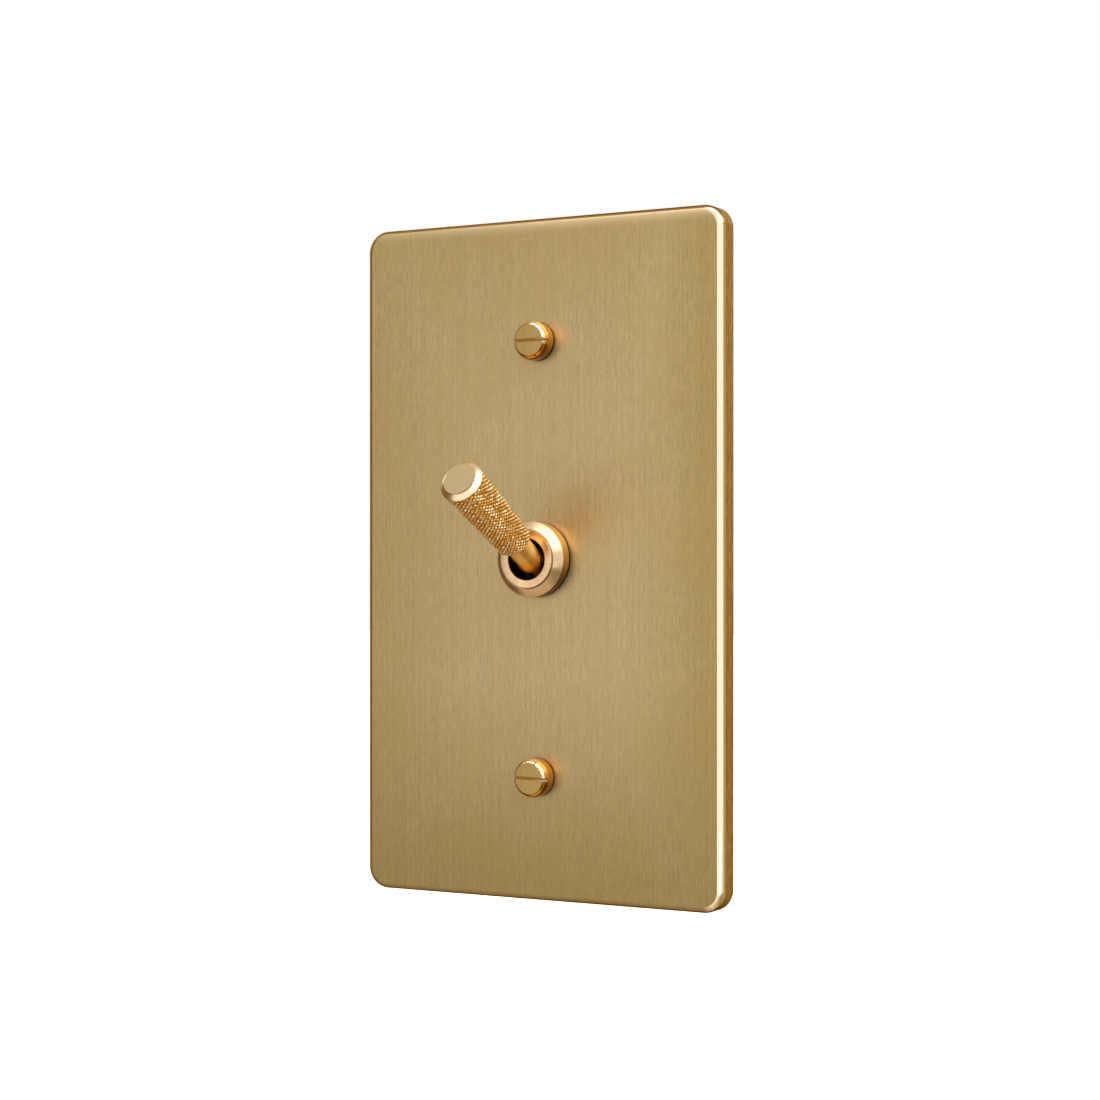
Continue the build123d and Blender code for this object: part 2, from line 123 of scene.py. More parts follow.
class PlateSettings(bpy.types.PropertyGroup):
    """Edges, pocket, brushing and colours of the wall plate."""

    corner: length("Corner radius", "Radius of the plate's corners", 4.2)
    edge: length("Edge radius", "Rounding of the front edge", 1.2)
    web: length("Web", "Thickness of the plate behind its face", 1.8)
    rim: length("Rim", "Width of the rim round the hollow back", 3.0)
    back_ease: length("Back ease", "Chamfer of the edges at the back", 0.15)
    pocket_corner: length("Pocket corner", "Radius of the hollow's corners", 2.0)
    bushing_hole: length("Bushing hole", "Diameter of the hole for the bushing", 12.3)
    screw_hole: length("Screw hole", "Diameter of a screw's hole", 4.0)
    screw_spacing: length("Screw spacing", "Distance between the two plate screws", 83.3)
    streak_width: length("Streak width", "Width of a brush streak", 0.32)
    streak_length: length("Streak length", "Length of a brush streak", 3.4)
    # Width of the painted highlight along the top
    glow: length("Pale width", "Width of the paler strip along the top", 2.5)
    tint: colour("Brass", "Colour of the brushed face", (0.535, 0.402, 0.193))
    # Colour of the painted highlight along the top
    glow_tint: colour("Pale strip", "Colour that the face takes along its top", (0.90, 0.69, 0.42))
    # Paler tints of the polished right edge and its corners paint its highlight
    edge_tint: colour("Polished edge", "Colour of the polished edge at the right", (0.95, 0.89, 0.66))
    corner_tint: colour("Lower corner", "Colour of the polish in the lower corner", (0.93, 0.78, 0.53))
    upper_tint: colour("Upper corner", "Colour of the polish in the upper corner", (0.70, 0.59, 0.41))
    # Painted shade on the edges at the left, top and bottom
    shade_tint: colour("Shaded edge", "Colour of the edge at the left", (0.55, 0.28, 0.04))
    rim_tint: colour("Dull edge", "Colour of the edges at the top and bottom", (0.30, 0.165, 0.045))
    side_tint: colour("Sides", "Colour of the plate's sides and back", (0.66, 0.49, 0.19))
    sheen: colour("Sheen", "Tint of the brass at a glancing angle", (0.6, 0.38, 0.12))


class TurnedSettings(bpy.types.PropertyGroup):
    """Sizes and colours of the collar and the lever."""

    bore: length("Collar thread", "Diameter inside the collar", 12.1)
    wall: length("Collar wall", "Height of the collar's straight wall", 2.8)
    land: length("Land", "Outer diameter of the collar's flat front", 11.0)
    step: length("Step", "Height of the collar's land over its bevel", 0.42)
    ledge: length("Ledge", "Width of the ledge round the collar's land", 0.24)
    opening: length("Opening", "Diameter of the collar's opening", 8.0)
    lip: length("Lip", "Thickness of the collar's front lip", 0.6)
    foot: length("Foot", "Rounding where the collar and the screws meet the plate", 0.2)
    stem: length("Stem", "Diameter of the lever's stem", 4.8)
    heel: length("Heel radius", "Radius of the stem's rounded end at the pivot", 2.56)
    tail: length("Tail", "Diameter of the lever's tail", 3.0)
    tail_length: length("Tail length", "Length of the tail behind the pivot", 10.5)
    tail_bore: length("Tail bore", "Diameter of the bore in the tail", 2.06)
    tail_bore_depth: length("Tail bore depth", "Depth of the bore in the tail", 7.5)
    spigot: length("Spigot", "Diameter of the spigot that carries the grip", 4.0)
    spigot_length: length("Spigot length", "Length of the spigot", 12.0)
    trunnion: length("Trunnion", "Diameter of the lever's trunnions", 1.6)
    land_tint: colour("Land", "Colour of the collar's flat front", (1.0, 0.67, 0.37))
    bevel_tint: colour("Bevel", "Colour of the collar's bevel", (0.79, 0.59, 0.37))
    # A painted reflection that deepens the collar's wall, and painted shade low on it
    collar_wall_tint: colour("Collar wall", "Colour of the collar's straight wall", (1.0, 0.60, 0.18))
    collar_shade: colour("Collar shade", "Colour low on that wall", (0.18, 0.055, 0.005))
    stem_tint: colour("Stem", "Colour of the lever's stem", (1.0, 0.62, 0.19))
    # A painted reflection from inside the bore on the stem's heel
    heel_tint: colour("Heel", "Colour of the stem's darkened heel", (0.95, 0.32, 0.012))


class KnurlSettings(bpy.types.PropertyGroup):
    """Sizes and colours of the knurled grip."""

    start: length("Start", "Distance of the grip from the pivot", 7.0)
    length: length("Length", "Length of the grip", 22.4)
    base: length("Base", "Diameter at the grip's base", 7.1)
    tip: length("Tip", "Diameter at the grip's tip", 8.4)
    base_chamfer: length("Base chamfer", "Chamfer at the base", 0.4)
    tip_chamfer: length("Tip chamfer", "Width of the chamfer at the tip", 1.05)
    tip_bevel: length("Tip bevel", "Length of that chamfer along the grip", 0.72)
    tip_step: length("Tip step", "Height of the step round the tip's flat", 0.26)
    bore: length("Bore", "Diameter of the bore for the spigot", 4.06)
    bore_depth: length("Bore depth", "Depth of that bore", 12.3)
    depth: length("Depth", "Depth of the knurl's grooves", 0.32)
    run_out: length("Run out", "Length over which the grooves run out at the tip", 0.6)
    flat_tops: number("Flat tops", "Gain that flattens the crests, from one", 1.5)
    wear: number("Wear", "Share by which worn crests are lower", 0.5)
    crests: count("Crests", "Diamonds round the grip", 26, min=8)
    rows: count("Rows", "Diamonds along the grip", 24, min=4)
    samples: count("Samples", "Steps across a diamond", 8, min=2)
    # Crests paler from wear and from a painted highlight
    crest: colour("Crests", "Colour of the knurl's worn crests", (0.96, 0.85, 0.65))
    flank: colour("Flanks", "Colour of the knurl's flanks", (0.75, 0.44, 0.105))
    # Painted shade in the grooves and round the tip's step
    groove: colour("Grooves", "Colour of the knurl's grooves", (0.48, 0.23, 0.03))
    tip_tint: colour("Tip", "Colour of the grip's satin tip", (0.54, 0.405, 0.22))
    # A paler tint that paints a highlight on the polished chamfer
    chamfer_tint: colour("Tip chamfer", "Colour of the polished chamfer at the tip", (1.0, 0.82, 0.57))


class ScrewSettings(bpy.types.PropertyGroup):
    """Sizes and colours of the plate screws, and sizes of the small slotted screws."""

    head: length("Head", "Diameter of a plate screw's head", 7.4)
    head_height: length("Head height", "Height of a plate screw's head", 3.5)
    wall: length("Wall", "Height of the head's straight wall", 2.35)
    middle: length("Middle", "Diameter between the head's two bevels", 6.8)
    middle_height: length("Middle height", "Height between the head's two bevels", 3.05)
    flat: length("Flat", "Diameter of the head's flat top", 5.9)
    slot_width: length("Slot width", "Width of a plate screw's slot", 0.6)
    slot_depth: length("Slot depth", "Depth of a plate screw's slot", 1.0)
    neck: length("Neck", "Diameter of a plate screw's neck", 3.0)
    neck_length: length("Neck length", "Length of a plate screw's neck", 2.1)
    shank: length("Shank", "Diameter of a plate screw's thread", 3.5)
    shank_length: length("Shank length", "Length of a plate screw under its head", 16.0)
    pitch: length("Pitch", "Pitch of a plate screw's thread", 0.6)
    small_head: length("Small head", "Diameter of a small screw's head", 5.4)
    small_height: length("Small head height", "Height of a small screw's head", 2.0)
    small_slot_width: length("Small slot width", "Width of a small screw's slot", 0.8)
    small_slot_depth: length("Small slot depth", "Depth of a small screw's slot", 1.0)
    small_pitch: length("Small pitch", "Pitch of a small screw's thread", 0.5)
    terminal_shank: length("Terminal shank", "Diameter of a terminal screw's thread", 3.0)
    earth_shank: length("Earth shank", "Diameter of the earth screw's thread", 3.5)
    first_turn: angle("First turn", "Turn of the lower screw's slot", -2)
    turn_step: angle("Turn step", "Turn from one slot to the next", 3)
    bevel_tint: colour("Bevels", "Colour of the screws' polished bevels", (1.0, 0.86, 0.66))
    # Painted shade low on the bevels
    bevel_shade: colour("Low bevels", "Browner colour low on the screws' bevels", (0.42, 0.22, 0.045))
    # A painted reflection of the plate that deepens the walls and the ring between the bevels
    wall_tint: colour("Walls", "Deeper colour of the screws' walls", (1.0, 0.43, 0.032))
    # Painted shade at the bottom of the slots
    slot_tint: colour("Slot", "Colour at the bottom of the slots", (0.26, 0.14, 0.035))


class SpringSettings(bpy.types.PropertyGroup):
    """Sizes of the plunger's coil spring."""

    wire: length("Wire", "Diameter of the spring's wire", 0.4)
    diameter: length("Diameter", "Outer diameter of the coil", 1.9)
    turns: number("Turns", "Turns of the coil", 4.0, min=1.0)
    gap: length("Gap", "Room between the coil and what it pushes on", 0.05)
    plunger_inside: length("Plunger inside", "Length of the plunger inside the tail", 2.5)


class StockSettings(bpy.types.PropertyGroup):
    """Colours of the stock that the hidden pieces are made of."""

    bushing_brass: colour("Bushing brass", "Colour of the turned bushing", (0.62, 0.43, 0.2))
    spring_steel: colour("Spring steel", "Colour of the lock washer", (0.42, 0.42, 0.44))
    tinned_brass: colour("Tinned brass", "Colour of the earth tag", (0.66, 0.62, 0.52))
    blade_copper: colour("Blade copper", "Colour of the rocking blade", (0.66, 0.36, 0.2))
    contact_silver: colour("Contact silver", "Colour of the contacts", (0.82, 0.81, 0.78))
    terminal_brass: colour("Terminal brass", "Colour of the terminals", (0.70, 0.50, 0.22))
    plated_steel: colour("Plated steel", "Colour of the frame and its screws", (0.60, 0.60, 0.58))
    green_brass: colour("Green brass", "Colour of the earth screw", (0.12, 0.30, 0.10))
    nylon: colour("Nylon", "Colour of the plunger", (0.72, 0.69, 0.58))
    black_moulding: colour("Black moulding", "Colour of the case", (0.022, 0.021, 0.020))
    fibre_sheet: colour("Fibre sheet", "Colour of the sheet under the frame", (0.25, 0.13, 0.07))


class StageSettings(bpy.types.PropertyGroup):
    """Camera and floor of the studio."""

    azimuth: angle("Azimuth", "Camera's turn to the right of the front", 29.36)
    distance: length("Distance", "Camera's distance from the plate's face", 443.2)
    aside: length("Aside", "Camera's shift to its right", 2.38)
    height: length("Height", "Camera's height over the plate's centre", -1.98)
    lens: number("Lens", "Focal length in millimetres", 75.86)
    horizon: number("Horizon", "Upward shift of the frame", 19.7 / 1100)
    floor: length("Floor", "Distance of the floor under the plate's centre", 200.0)


class SwitchSettings(bpy.types.PropertyGroup):
    """All settings of the toggle light switch."""

    plate: PointerProperty(type=PlateSettings)
    turned: PointerProperty(type=TurnedSettings)
    knurl: PointerProperty(type=KnurlSettings)
    screws: PointerProperty(type=ScrewSettings)
    spring: PointerProperty(type=SpringSettings)
    stock: PointerProperty(type=StockSettings)
    stage: PointerProperty(type=StageSettings)


class Signal:
    """A value in a node tree, with arithmetic that adds math nodes."""

    def __init__(self, wiring, socket):
        self.wiring = wiring
        self.socket = socket

    def __add__(self, other):
        return self.wiring.math("ADD", self, other)

    def __sub__(self, other):
        return self.wiring.math("SUBTRACT", self, other)

    def __rsub__(self, other):
        return self.wiring.math("SUBTRACT", other, self)

    def __mul__(self, other):
        return self.wiring.math("MULTIPLY", self, other)

    def __truediv__(self, other):
        return self.wiring.math("DIVIDE", self, other)

    def __abs__(self):
        return self.wiring.math("ABSOLUTE", self)

    def most(self, other):
        """The greater of two values."""
        return self.wiring.math("MAXIMUM", self, other)

    def least(self, other):
        """The lesser of two values."""
        return self.wiring.math("MINIMUM", self, other)

    def ramp(self, low, high, to_low=0.0, to_high=1.0):
        """This value stretched from one range to another and held at its ends."""
        inputs = {"Value": self, "From Min": low, "From Max": high, "To Min": to_low, "To Max": to_high}
        return self.wiring.value("ShaderNodeMapRange", inputs, clamp=True)


class Wiring:
    """Adds nodes to one node tree and links them."""

    def __init__(self, tree):
        self.tree = tree

    def set(self, socket, value):
        """Links a socket to a signal or sets it to a value, a colour without its alpha."""
        if isinstance(value, Signal):
            self.tree.links.new(value.socket, socket)
        elif socket.type == "RGBA":
            socket.default_value = (*value, 1.0)
        else:
            socket.default_value = value

    def add(self, kind, inputs=None, **settings):
        """A new node with its settings and inputs."""
        node = self.tree.nodes.new(kind)
        for name, value in settings.items():
            setattr(node, name, value)
        for name, value in (inputs or {}).items():
            self.set(node.inputs[name], value)
        return node

    def value(self, kind, inputs=None, output=0, **settings):
        """One output of a new node."""
        return Signal(self, self.add(kind, inputs, **settings).outputs[output])

    def math(self, operation, first, second=0.0, clamp=False):
        """The result of a math node."""
        return self.value("ShaderNodeMath", {0: first, 1: second}, operation=operation, use_clamp=clamp)

    def noise(self, place, scale, detail=3.0, roughness=0.55):
        """The value of a noise texture."""
        inputs = {"Vector": place, "Scale": scale, "Detail": detail, "Roughness": roughness}
        return self.value("ShaderNodeTexNoise", inputs)

    def mix(self, factor, first, second, blend="MIX"):
        """Two colours mixed by a factor."""
        inputs = {"Factor": factor, 6: first, 7: second}
        return self.value("ShaderNodeMix", inputs, 2, data_type="RGBA", blend_type=blend)

    def vector(self, x, y, z=0.0):
        """A vector of three values."""
        return self.value("ShaderNodeCombineXYZ", {"X": x, "Y": y, "Z": z})

    def parts(self, vector):
        """The three values of a vector."""
        node = self.add("ShaderNodeSeparateXYZ", {"Vector": vector})
        return [Signal(self, socket) for socket in node.outputs]

    def radius(self, place):
        """The distance of a place from the Z axis."""
        x, y, _ = self.parts(place)
        return self.value("ShaderNodeVectorMath", {0: self.vector(x, y)}, "Value", operation="LENGTH")


class Group(Wiring):
    """A node group under construction, with its named inputs as signals."""

    def __init__(self, name, kind, inputs, outputs):
        super().__init__(bpy.data.node_groups.new(name, kind))
        for side, sockets in (("INPUT", inputs), ("OUTPUT", outputs)):
            for socket, form in sockets.items():
                self.tree.interface.new_socket(name=socket, in_out=side, socket_type="NodeSocket" + form)
        entry = self.add("NodeGroupInput")
        self.given = {socket: Signal(self, entry.outputs[socket]) for socket in inputs}
        self.exit = self.add("NodeGroupOutput")

    def give(self, **results):
        """The finished group, with its outputs linked."""
        for name, result in results.items():
            self.set(self.exit.inputs[name], result)
        return self.tree


class Pattern(Group):
    """A shader group that makes values for each place on a piece."""

    def __init__(self, name, sizes, outputs):
        inputs = {"Vector": "Vector", **dict.fromkeys(sizes, "Float")}
        super().__init__(name, "ShaderNodeTree", inputs, dict.fromkeys(outputs, "Float"))


class Growth(Group):
    """A geometry tree that ends in real geometry with a material."""

    def __init__(self, name, sockets):
        inputs = {"Geometry": "Geometry", "Material": "Material", **sockets}
        super().__init__(name, "GeometryNodeTree", inputs, {"Geometry": "Geometry"})

    def give(self, geometry):
        """The finished tree."""
        real = self.value("GeometryNodeRealizeInstances", {"Geometry": geometry})
        clad = {"Geometry": real, "Material": self.given["Material"]}
        return super().give(Geometry=self.value("GeometryNodeSetMaterial", clad))


def shared(build):
    """The node group of a function's name, which it builds at its first use."""
    return bpy.data.node_groups.get(build.__name__) or build(build.__name__)


def brushed_lines(name):
    """Wavering streaks along Z, as a scouring belt leaves them, with finer hairs and long straight pulls."""
    sway_scale, sway_reach, cloud_scale = 300.0, 5.5, 95.0
    hair_share, pull_share, pull_stretch = 0.6, 0.5, 14.0
    group = Pattern(name, ("Width", "Length"), ("Lines", "Clouds"))
    place, width = group.given["Vector"], group.given["Width"]
    x, y, z = group.parts(place)
    straight, depth, along = x / width, y / width, z / group.given["Length"]
    sway = (group.noise(place, sway_scale) - 0.5) * sway_reach
    swaying = group.vector(straight + sway, depth, along)
    streaks = group.noise(swaying, 1.0, 5.0, 0.62)
    hairs = (group.noise(swaying, 2.7, 2.0, 0.5) - 0.5) * hair_share
    drawn = group.vector(straight, depth, along / pull_stretch)
    pulls = (group.noise(drawn, 0.9, 3.0, 0.6) - 0.5) * pull_share
    lines = group.math("ADD", streaks, hairs + pulls, clamp=True)
    return group.give(Lines=lines, Clouds=group.noise(place, cloud_scale, 4.0, 0.6))


def turned_lines(name):
    """Fine rings round Z, as a lathe tool leaves them, and slow shifts of tone round the piece."""
    group = Pattern(name, ("Feed",), ("Rings", "Sectors"))
    place, feed = group.given["Vector"], group.given["Feed"]
    x, y, z = group.parts(place)
    rings = group.noise(group.vector(group.radius(place) / feed, z / feed), 1.0, 3.0, 0.6)
    turn = group.value("ShaderNodeVectorMath", {0: group.vector(x, y)}, operation="NORMALIZE")
    return group.give(Rings=rings, Sectors=group.noise(turn, 2.3, 3.0, 0.6))


def tarnish(name):
    """Slow shifts of tone and small darker spots, as handled metal has them."""
    group = Pattern(name, ("Scale",), ("Shade", "Spots"))
    place, scale = group.given["Vector"], group.given["Scale"]
    spots = group.noise(place, scale * 9.0, 2.0, 0.5).ramp(0.62, 0.74)
    return group.give(Shade=group.noise(place, scale, 4.0, 0.6), Spots=spots)


class Finish(Wiring):
    """One material under construction: its shader and its place on the piece."""

    def __init__(self, name, metallic=1.0):
        self.material = bpy.data.materials.new(name)
        self.material.use_nodes = True
        super().__init__(self.material.node_tree)
        self.shader = next(node for node in self.tree.nodes if node.type == "BSDF_PRINCIPLED")
        self.place = self.value("ShaderNodeTexCoord", output="Object")
        self.feed(Metallic=metallic)

    def on_axis(self, origin, axis):
        """Makes the pattern follow a frame with its origin on an axis and its Z along it."""
        turn = axis.to_track_quat("Z", "Y").to_euler()
        inputs = {"Vector": self.place, "Location": origin, "Rotation": turn}
        self.place = self.value("ShaderNodeMapping", inputs, vector_type="TEXTURE")
        return self

    def group(self, build, **inputs):
        """The outputs, by name, of a shared group that follows the place on the piece."""
        node = self.add("ShaderNodeGroup", {"Vector": self.place, **inputs}, node_tree=shared(build))
        return {socket.name: Signal(self, socket) for socket in node.outputs}

    def vary(self, factor, tint, dark, light):
        """A tint that varies between a darker and a lighter level."""
        return self.mix(factor, shade(tint, dark), shade(tint, light))

    def feed(self, **sockets):
        """Links or sets the shader's inputs, with spaces written as underscores."""
        for name, value in sockets.items():
            self.set(self.shader.inputs[name.replace("_", " ")], value)

    def drawn(self, amount, **direction):
        """Draws out the highlights along a tangent."""
        self.feed(Anisotropic=amount, Tangent=self.value("ShaderNodeTangent", **direction))

    def relief(self, height, distance):
        """The finished material, with fine relief from a height value."""
        inputs = {"Height": height, "Distance": distance, "Strength": 1.0}
        self.feed(Normal=self.value("ShaderNodeBump", inputs))
        return self.material


def shade(tint, *levels):
    """A tint times one level, or times one for each of its parts, and none over full."""
    levels = levels if len(levels) == 3 else levels * 3
    return tuple(min(part * level, 1.0) for part, level in zip(tint, levels))


def brushed_plate_finish(settings):
    """Brass brushed up and down on the face, polished round the right edge, with painted highlights on that
    edge and along the top and painted shade on the other edges and towards the bottom.
    """
    finish = Finish("brushed_brass")
    mix, radius, tint = finish.mix, settings.edge, settings.tint
    brushed = finish.group(brushed_lines, Width=settings.streak_width, Length=settings.streak_length)
    across, deep, up = finish.parts(finish.place)
    deep = deep - PLATE_FRONT
    behind = deep.ramp(0.95 * radius, 1.05 * radius)
    # The polish and its painted highlight start with the rounding at the right and fade in the corners, by
    # degrees from facing right
    facing_x, _, facing_z = finish.parts(finish.value("ShaderNodeTexCoord", output="Normal"))
    aside = finish.math("DEGREES", abs(finish.math("ARCTAN2", facing_z, facing_x)))
    start = aside.ramp(40, 85, 0.3 * radius, 0.05 * radius)
    start = start.most(facing_z.ramp(-0.05, -0.2, 0.0, 0.25 * radius))
    # Painted shade: the top, bottom and corner edges, away from the right, go browner
    shaded_rim = deep.ramp(start, start * 2.5) * aside.ramp(20, 45)
    on_edge = deep.ramp(0.0005 * MM, 0.004 * MM)
    polish_and_highlight = on_edge * aside.ramp(86, 56) * (1.0 - shaded_rim) * (1.0 - behind)
    # Painted shade on the edge at the left
    left = deep.ramp(0.004 * radius, 0.01 * radius) * aside.ramp(120, 160)
    streaks = brushed["Lines"].ramp(0.3, 0.7)
    clouds = brushed["Clouds"].ramp(0.35, 0.65, 0.0, 0.45)
    face = finish.vary(streaks, tint, 0.82, 1.17)
    face = mix(clouds, face, shade(tint, 1.02, 0.93, 0.78))
    # Painted light and shade: the middle is brightened and the tone deepens towards the plate's edges, most
    # of all at the bottom
    aged_and_shaded = across.ramp(-14 * MM, -40 * MM, 0.0, 0.75)
    for place, low, high, most in ((across, 20, 36, 1.0), (up, 24, 64, 0.6), (up, -40, -66, 1.0)):
        aged_and_shaded = aged_and_shaded.most(place.ramp(low * MM, high * MM, 0.0, most))
    lit_middle_level, shaded_edge_level, shaded_bottom_level = (1.06, 1.11, 1.20), (0.88, 0.87, 0.74), (0.72, 0.72, 0.60)
    level = mix(aged_and_shaded, lit_middle_level, shaded_edge_level)
    level = mix(up.ramp(-22 * MM, -66 * MM), level, shaded_bottom_level)
    face = mix(1.0, face, level, "MULTIPLY")
    # Painted highlight: a paler strip runs along the top and fades to the left
    top = PLATE_HIGH.z - 0.7 * MM
    glow = finish.math("POWER", up.ramp(top - settings.glow, top), 2.0)
    face = mix(glow * across.ramp(-38 * MM, 5 * MM, 0.4, 1.0), face, settings.glow_tint)
    # Painted shade browns the edges at the top, bottom and left
    satin = mix(shaded_rim.most(left), face, mix(left, settings.rim_tint, settings.shade_tint))
    side = finish.vary(streaks, settings.side_tint, 0.65, 1.25)
    satin = mix(behind, satin, side)
    # Painted highlight: the polished right edge and its corners take paler tints
    shine = mix(aside.ramp(4, 35), settings.edge_tint, settings.corner_tint)
    shine = mix(facing_z.ramp(0.05, 0.15), shine, settings.upper_tint)
    rough = mix(polish_and_highlight, streaks.ramp(0.0, 1.0, 0.36, 0.46), aside.ramp(1, 16, 0.07, 0.30))
    finish.feed(Base_Color=mix(polish_and_highlight, satin, shine), Roughness=rough, Specular_Tint=settings.sheen)
    finish.drawn(0.5, direction_type="RADIAL", axis="Z")
    return finish.relief(streaks * (1.0 - polish_and_highlight), 0.008 * MM)


def screw_finish(settings, plate):
    """Brass, brushed on the head's flat top and polished on its bevels, with painted shade low on the bevels,
    in its slot and at its foot, and a painted reflection that deepens its wall.
    """
    finish = Finish("polished_brass")
    mix, height = finish.mix, settings.head_height
    lines = finish.group(brushed_lines, Width=0.25 * MM, Length=3.0 * MM)["Lines"]
    _, deep, up = finish.parts(finish.place)
    deep = deep - (PLATE_FRONT - height)
    half = plate.screw_spacing / 2
    rise = up - finish.math("GREATER_THAN", up, 0.0).ramp(0.0, 1.0, -half, half)
    lower = rise.ramp(1.2 * MM, -3.0 * MM)
    polished = deep.ramp(0.02 * MM, 0.06 * MM)
    golden = shade(plate.tint, 0.91, 0.80, 0.59)
    satin = finish.vary(lines, golden, 0.8, 1.2)
    # Painted shade: the bevels go browner low on the head
    bevel = mix(rise.ramp(0.2 * MM, -1.2 * MM), settings.bevel_tint, settings.bevel_shade)
    tone = mix(polished, satin, bevel)
    # A painted reflection deepens the ring where the two bevels meet and the wall, and painted shade darkens
    # the wall downwards
    from_ring = abs(deep - (height - settings.middle_height))
    tone = mix(from_ring.ramp(0.13 * MM, 0.09 * MM), tone, settings.wall_tint)
    wall_top = height - settings.wall
    wall = mix(lower, settings.wall_tint, shade(settings.wall_tint, 0.2))
    tone = mix(deep.ramp(wall_top, wall_top + 0.1 * MM), tone, wall)
    # A painted shadow line at the foot, wider low down, and plain brass behind the plate's face
    outside = deep.ramp(height + 0.1 * MM, height)
    foot = (deep + lower * (0.3 * MM)).ramp(height - 0.42 * MM, height - 0.3 * MM) * outside
    tone = mix(outside, plate.side_tint, mix(foot, tone, DARK_LINE))
    # Painted shade at the bottom of the slot
    side = settings.slot_width / 2
    bottom = deep.ramp(0.9 * settings.slot_depth, 0.98 * settings.slot_depth)
    in_slot = abs(rise).ramp(side + 0.02 * MM, side) * bottom * deep.ramp(wall_top, wall_top - 0.02 * MM)
    tone = mix(in_slot, tone, settings.slot_tint)
    rough = polished.ramp(0.0, 1.0, 0.38, 0.1).most(foot)
    finish.feed(Base_Color=tone, Roughness=rough, Metallic=1.0 - foot, Specular_IOR_Level=0.0)
    return finish.relief(lines * (1.0 - polished), 0.01 * MM)


def collar_finish(settings, seat, height):
    """Turned brass with a paler land, a wall deepened by a painted reflection and darkened downwards by
    painted shade, and a painted shadow line at its foot.
    """
    finish = Finish("turned_brass")
    mix, bevel_tint, land_tint = finish.mix, settings.bevel_tint, settings.land_tint
    lower = finish.parts(finish.place)[2].ramp(3.5 * MM, -4.0 * MM)
    finish.on_axis(seat, OUT_OF_WALL)
    turned = finish.group(turned_lines, Feed=0.26 * MM)
    rings = turned["Rings"]
    rise = finish.parts(finish.place)[2]
    bevel = finish.vary(rings, bevel_tint, 0.80, 1.16)
    land = finish.vary(rings, land_tint, 0.94, 1.06)
    tone = mix(rise.ramp(height - 0.12 * MM, height - 0.03 * MM), bevel, land)
    tone = mix(turned["Sectors"].ramp(0.35, 0.65, 0.0, 0.45), tone, shade(bevel_tint, 0.55))
    # The ledge round the land lies in shadow at the bottom
    ledge = height - settings.step
    rim = settings.land / 2 + settings.ledge
    on_ledge = rise.ramp(ledge + 0.1 * MM, ledge + 0.02 * MM)
    on_ledge = on_ledge * finish.radius(finish.place).ramp(rim + 0.06 * MM, rim)
    tone = mix(on_ledge * lower, tone, shade(bevel_tint, 0.2))
    # A painted reflection deepens the wall, and painted shade darkens it downwards
    wall = mix(lower, settings.collar_wall_tint, settings.collar_shade)
    tone = mix(rise.ramp(settings.wall, settings.wall - 0.08 * MM), tone, wall)
    # A painted shadow line at the foot, wider low down
    foot = (rise - lower * (0.35 * MM)).ramp(0.48 * MM, 0.34 * MM)
    rough = rings.ramp(0.25, 0.75, 0.24, 0.36).most(foot)
    finish.feed(Base_Color=mix(foot, tone, DARK_LINE), Roughness=rough, Metallic=1.0 - foot)
    finish.feed(Specular_IOR_Level=0.0, Anisotropic_Rotation=0.25)
    finish.drawn(0.65, direction_type="RADIAL", axis="Y")
    return finish.relief(rings, 0.006 * MM)


def lever_finish(settings):
    """Turned brass on the stem, deeper and darker on its heel with a painted reflection, black on the
    trunnions that stand out of its sides.
    """
    finish = Finish("lever_brass")
    aside = abs(finish.parts(finish.place)[0])
    finish.on_axis(PIVOT, LEVER_AXIS)
    rings = finish.group(turned_lines, Feed=0.09 * MM)["Rings"]
    tone = finish.vary(rings, settings.stem_tint, 0.9, 1.05)
    # Painted reflection from inside the bore deepens the stem near the pivot
    near_pivot = finish.parts(finish.place)[2].ramp(3.2 * MM, 0.4 * MM)
    tone = finish.mix(near_pivot, tone, settings.heel_tint)
    on_pin = aside.ramp(settings.heel + 0.01 * MM, settings.heel + 0.04 * MM)
    tone = finish.mix(on_pin, tone, BLACK_PIN)
    rough = rings.ramp(0.25, 0.75, 0.40, 0.48)
    finish.feed(Base_Color=tone, Roughness=rough, Anisotropic_Rotation=0.25)
    finish.drawn(0.85, direction_type="UV_MAP", uv_map=TURNED_MAP)
    return finish.relief(rings, 0.004 * MM)


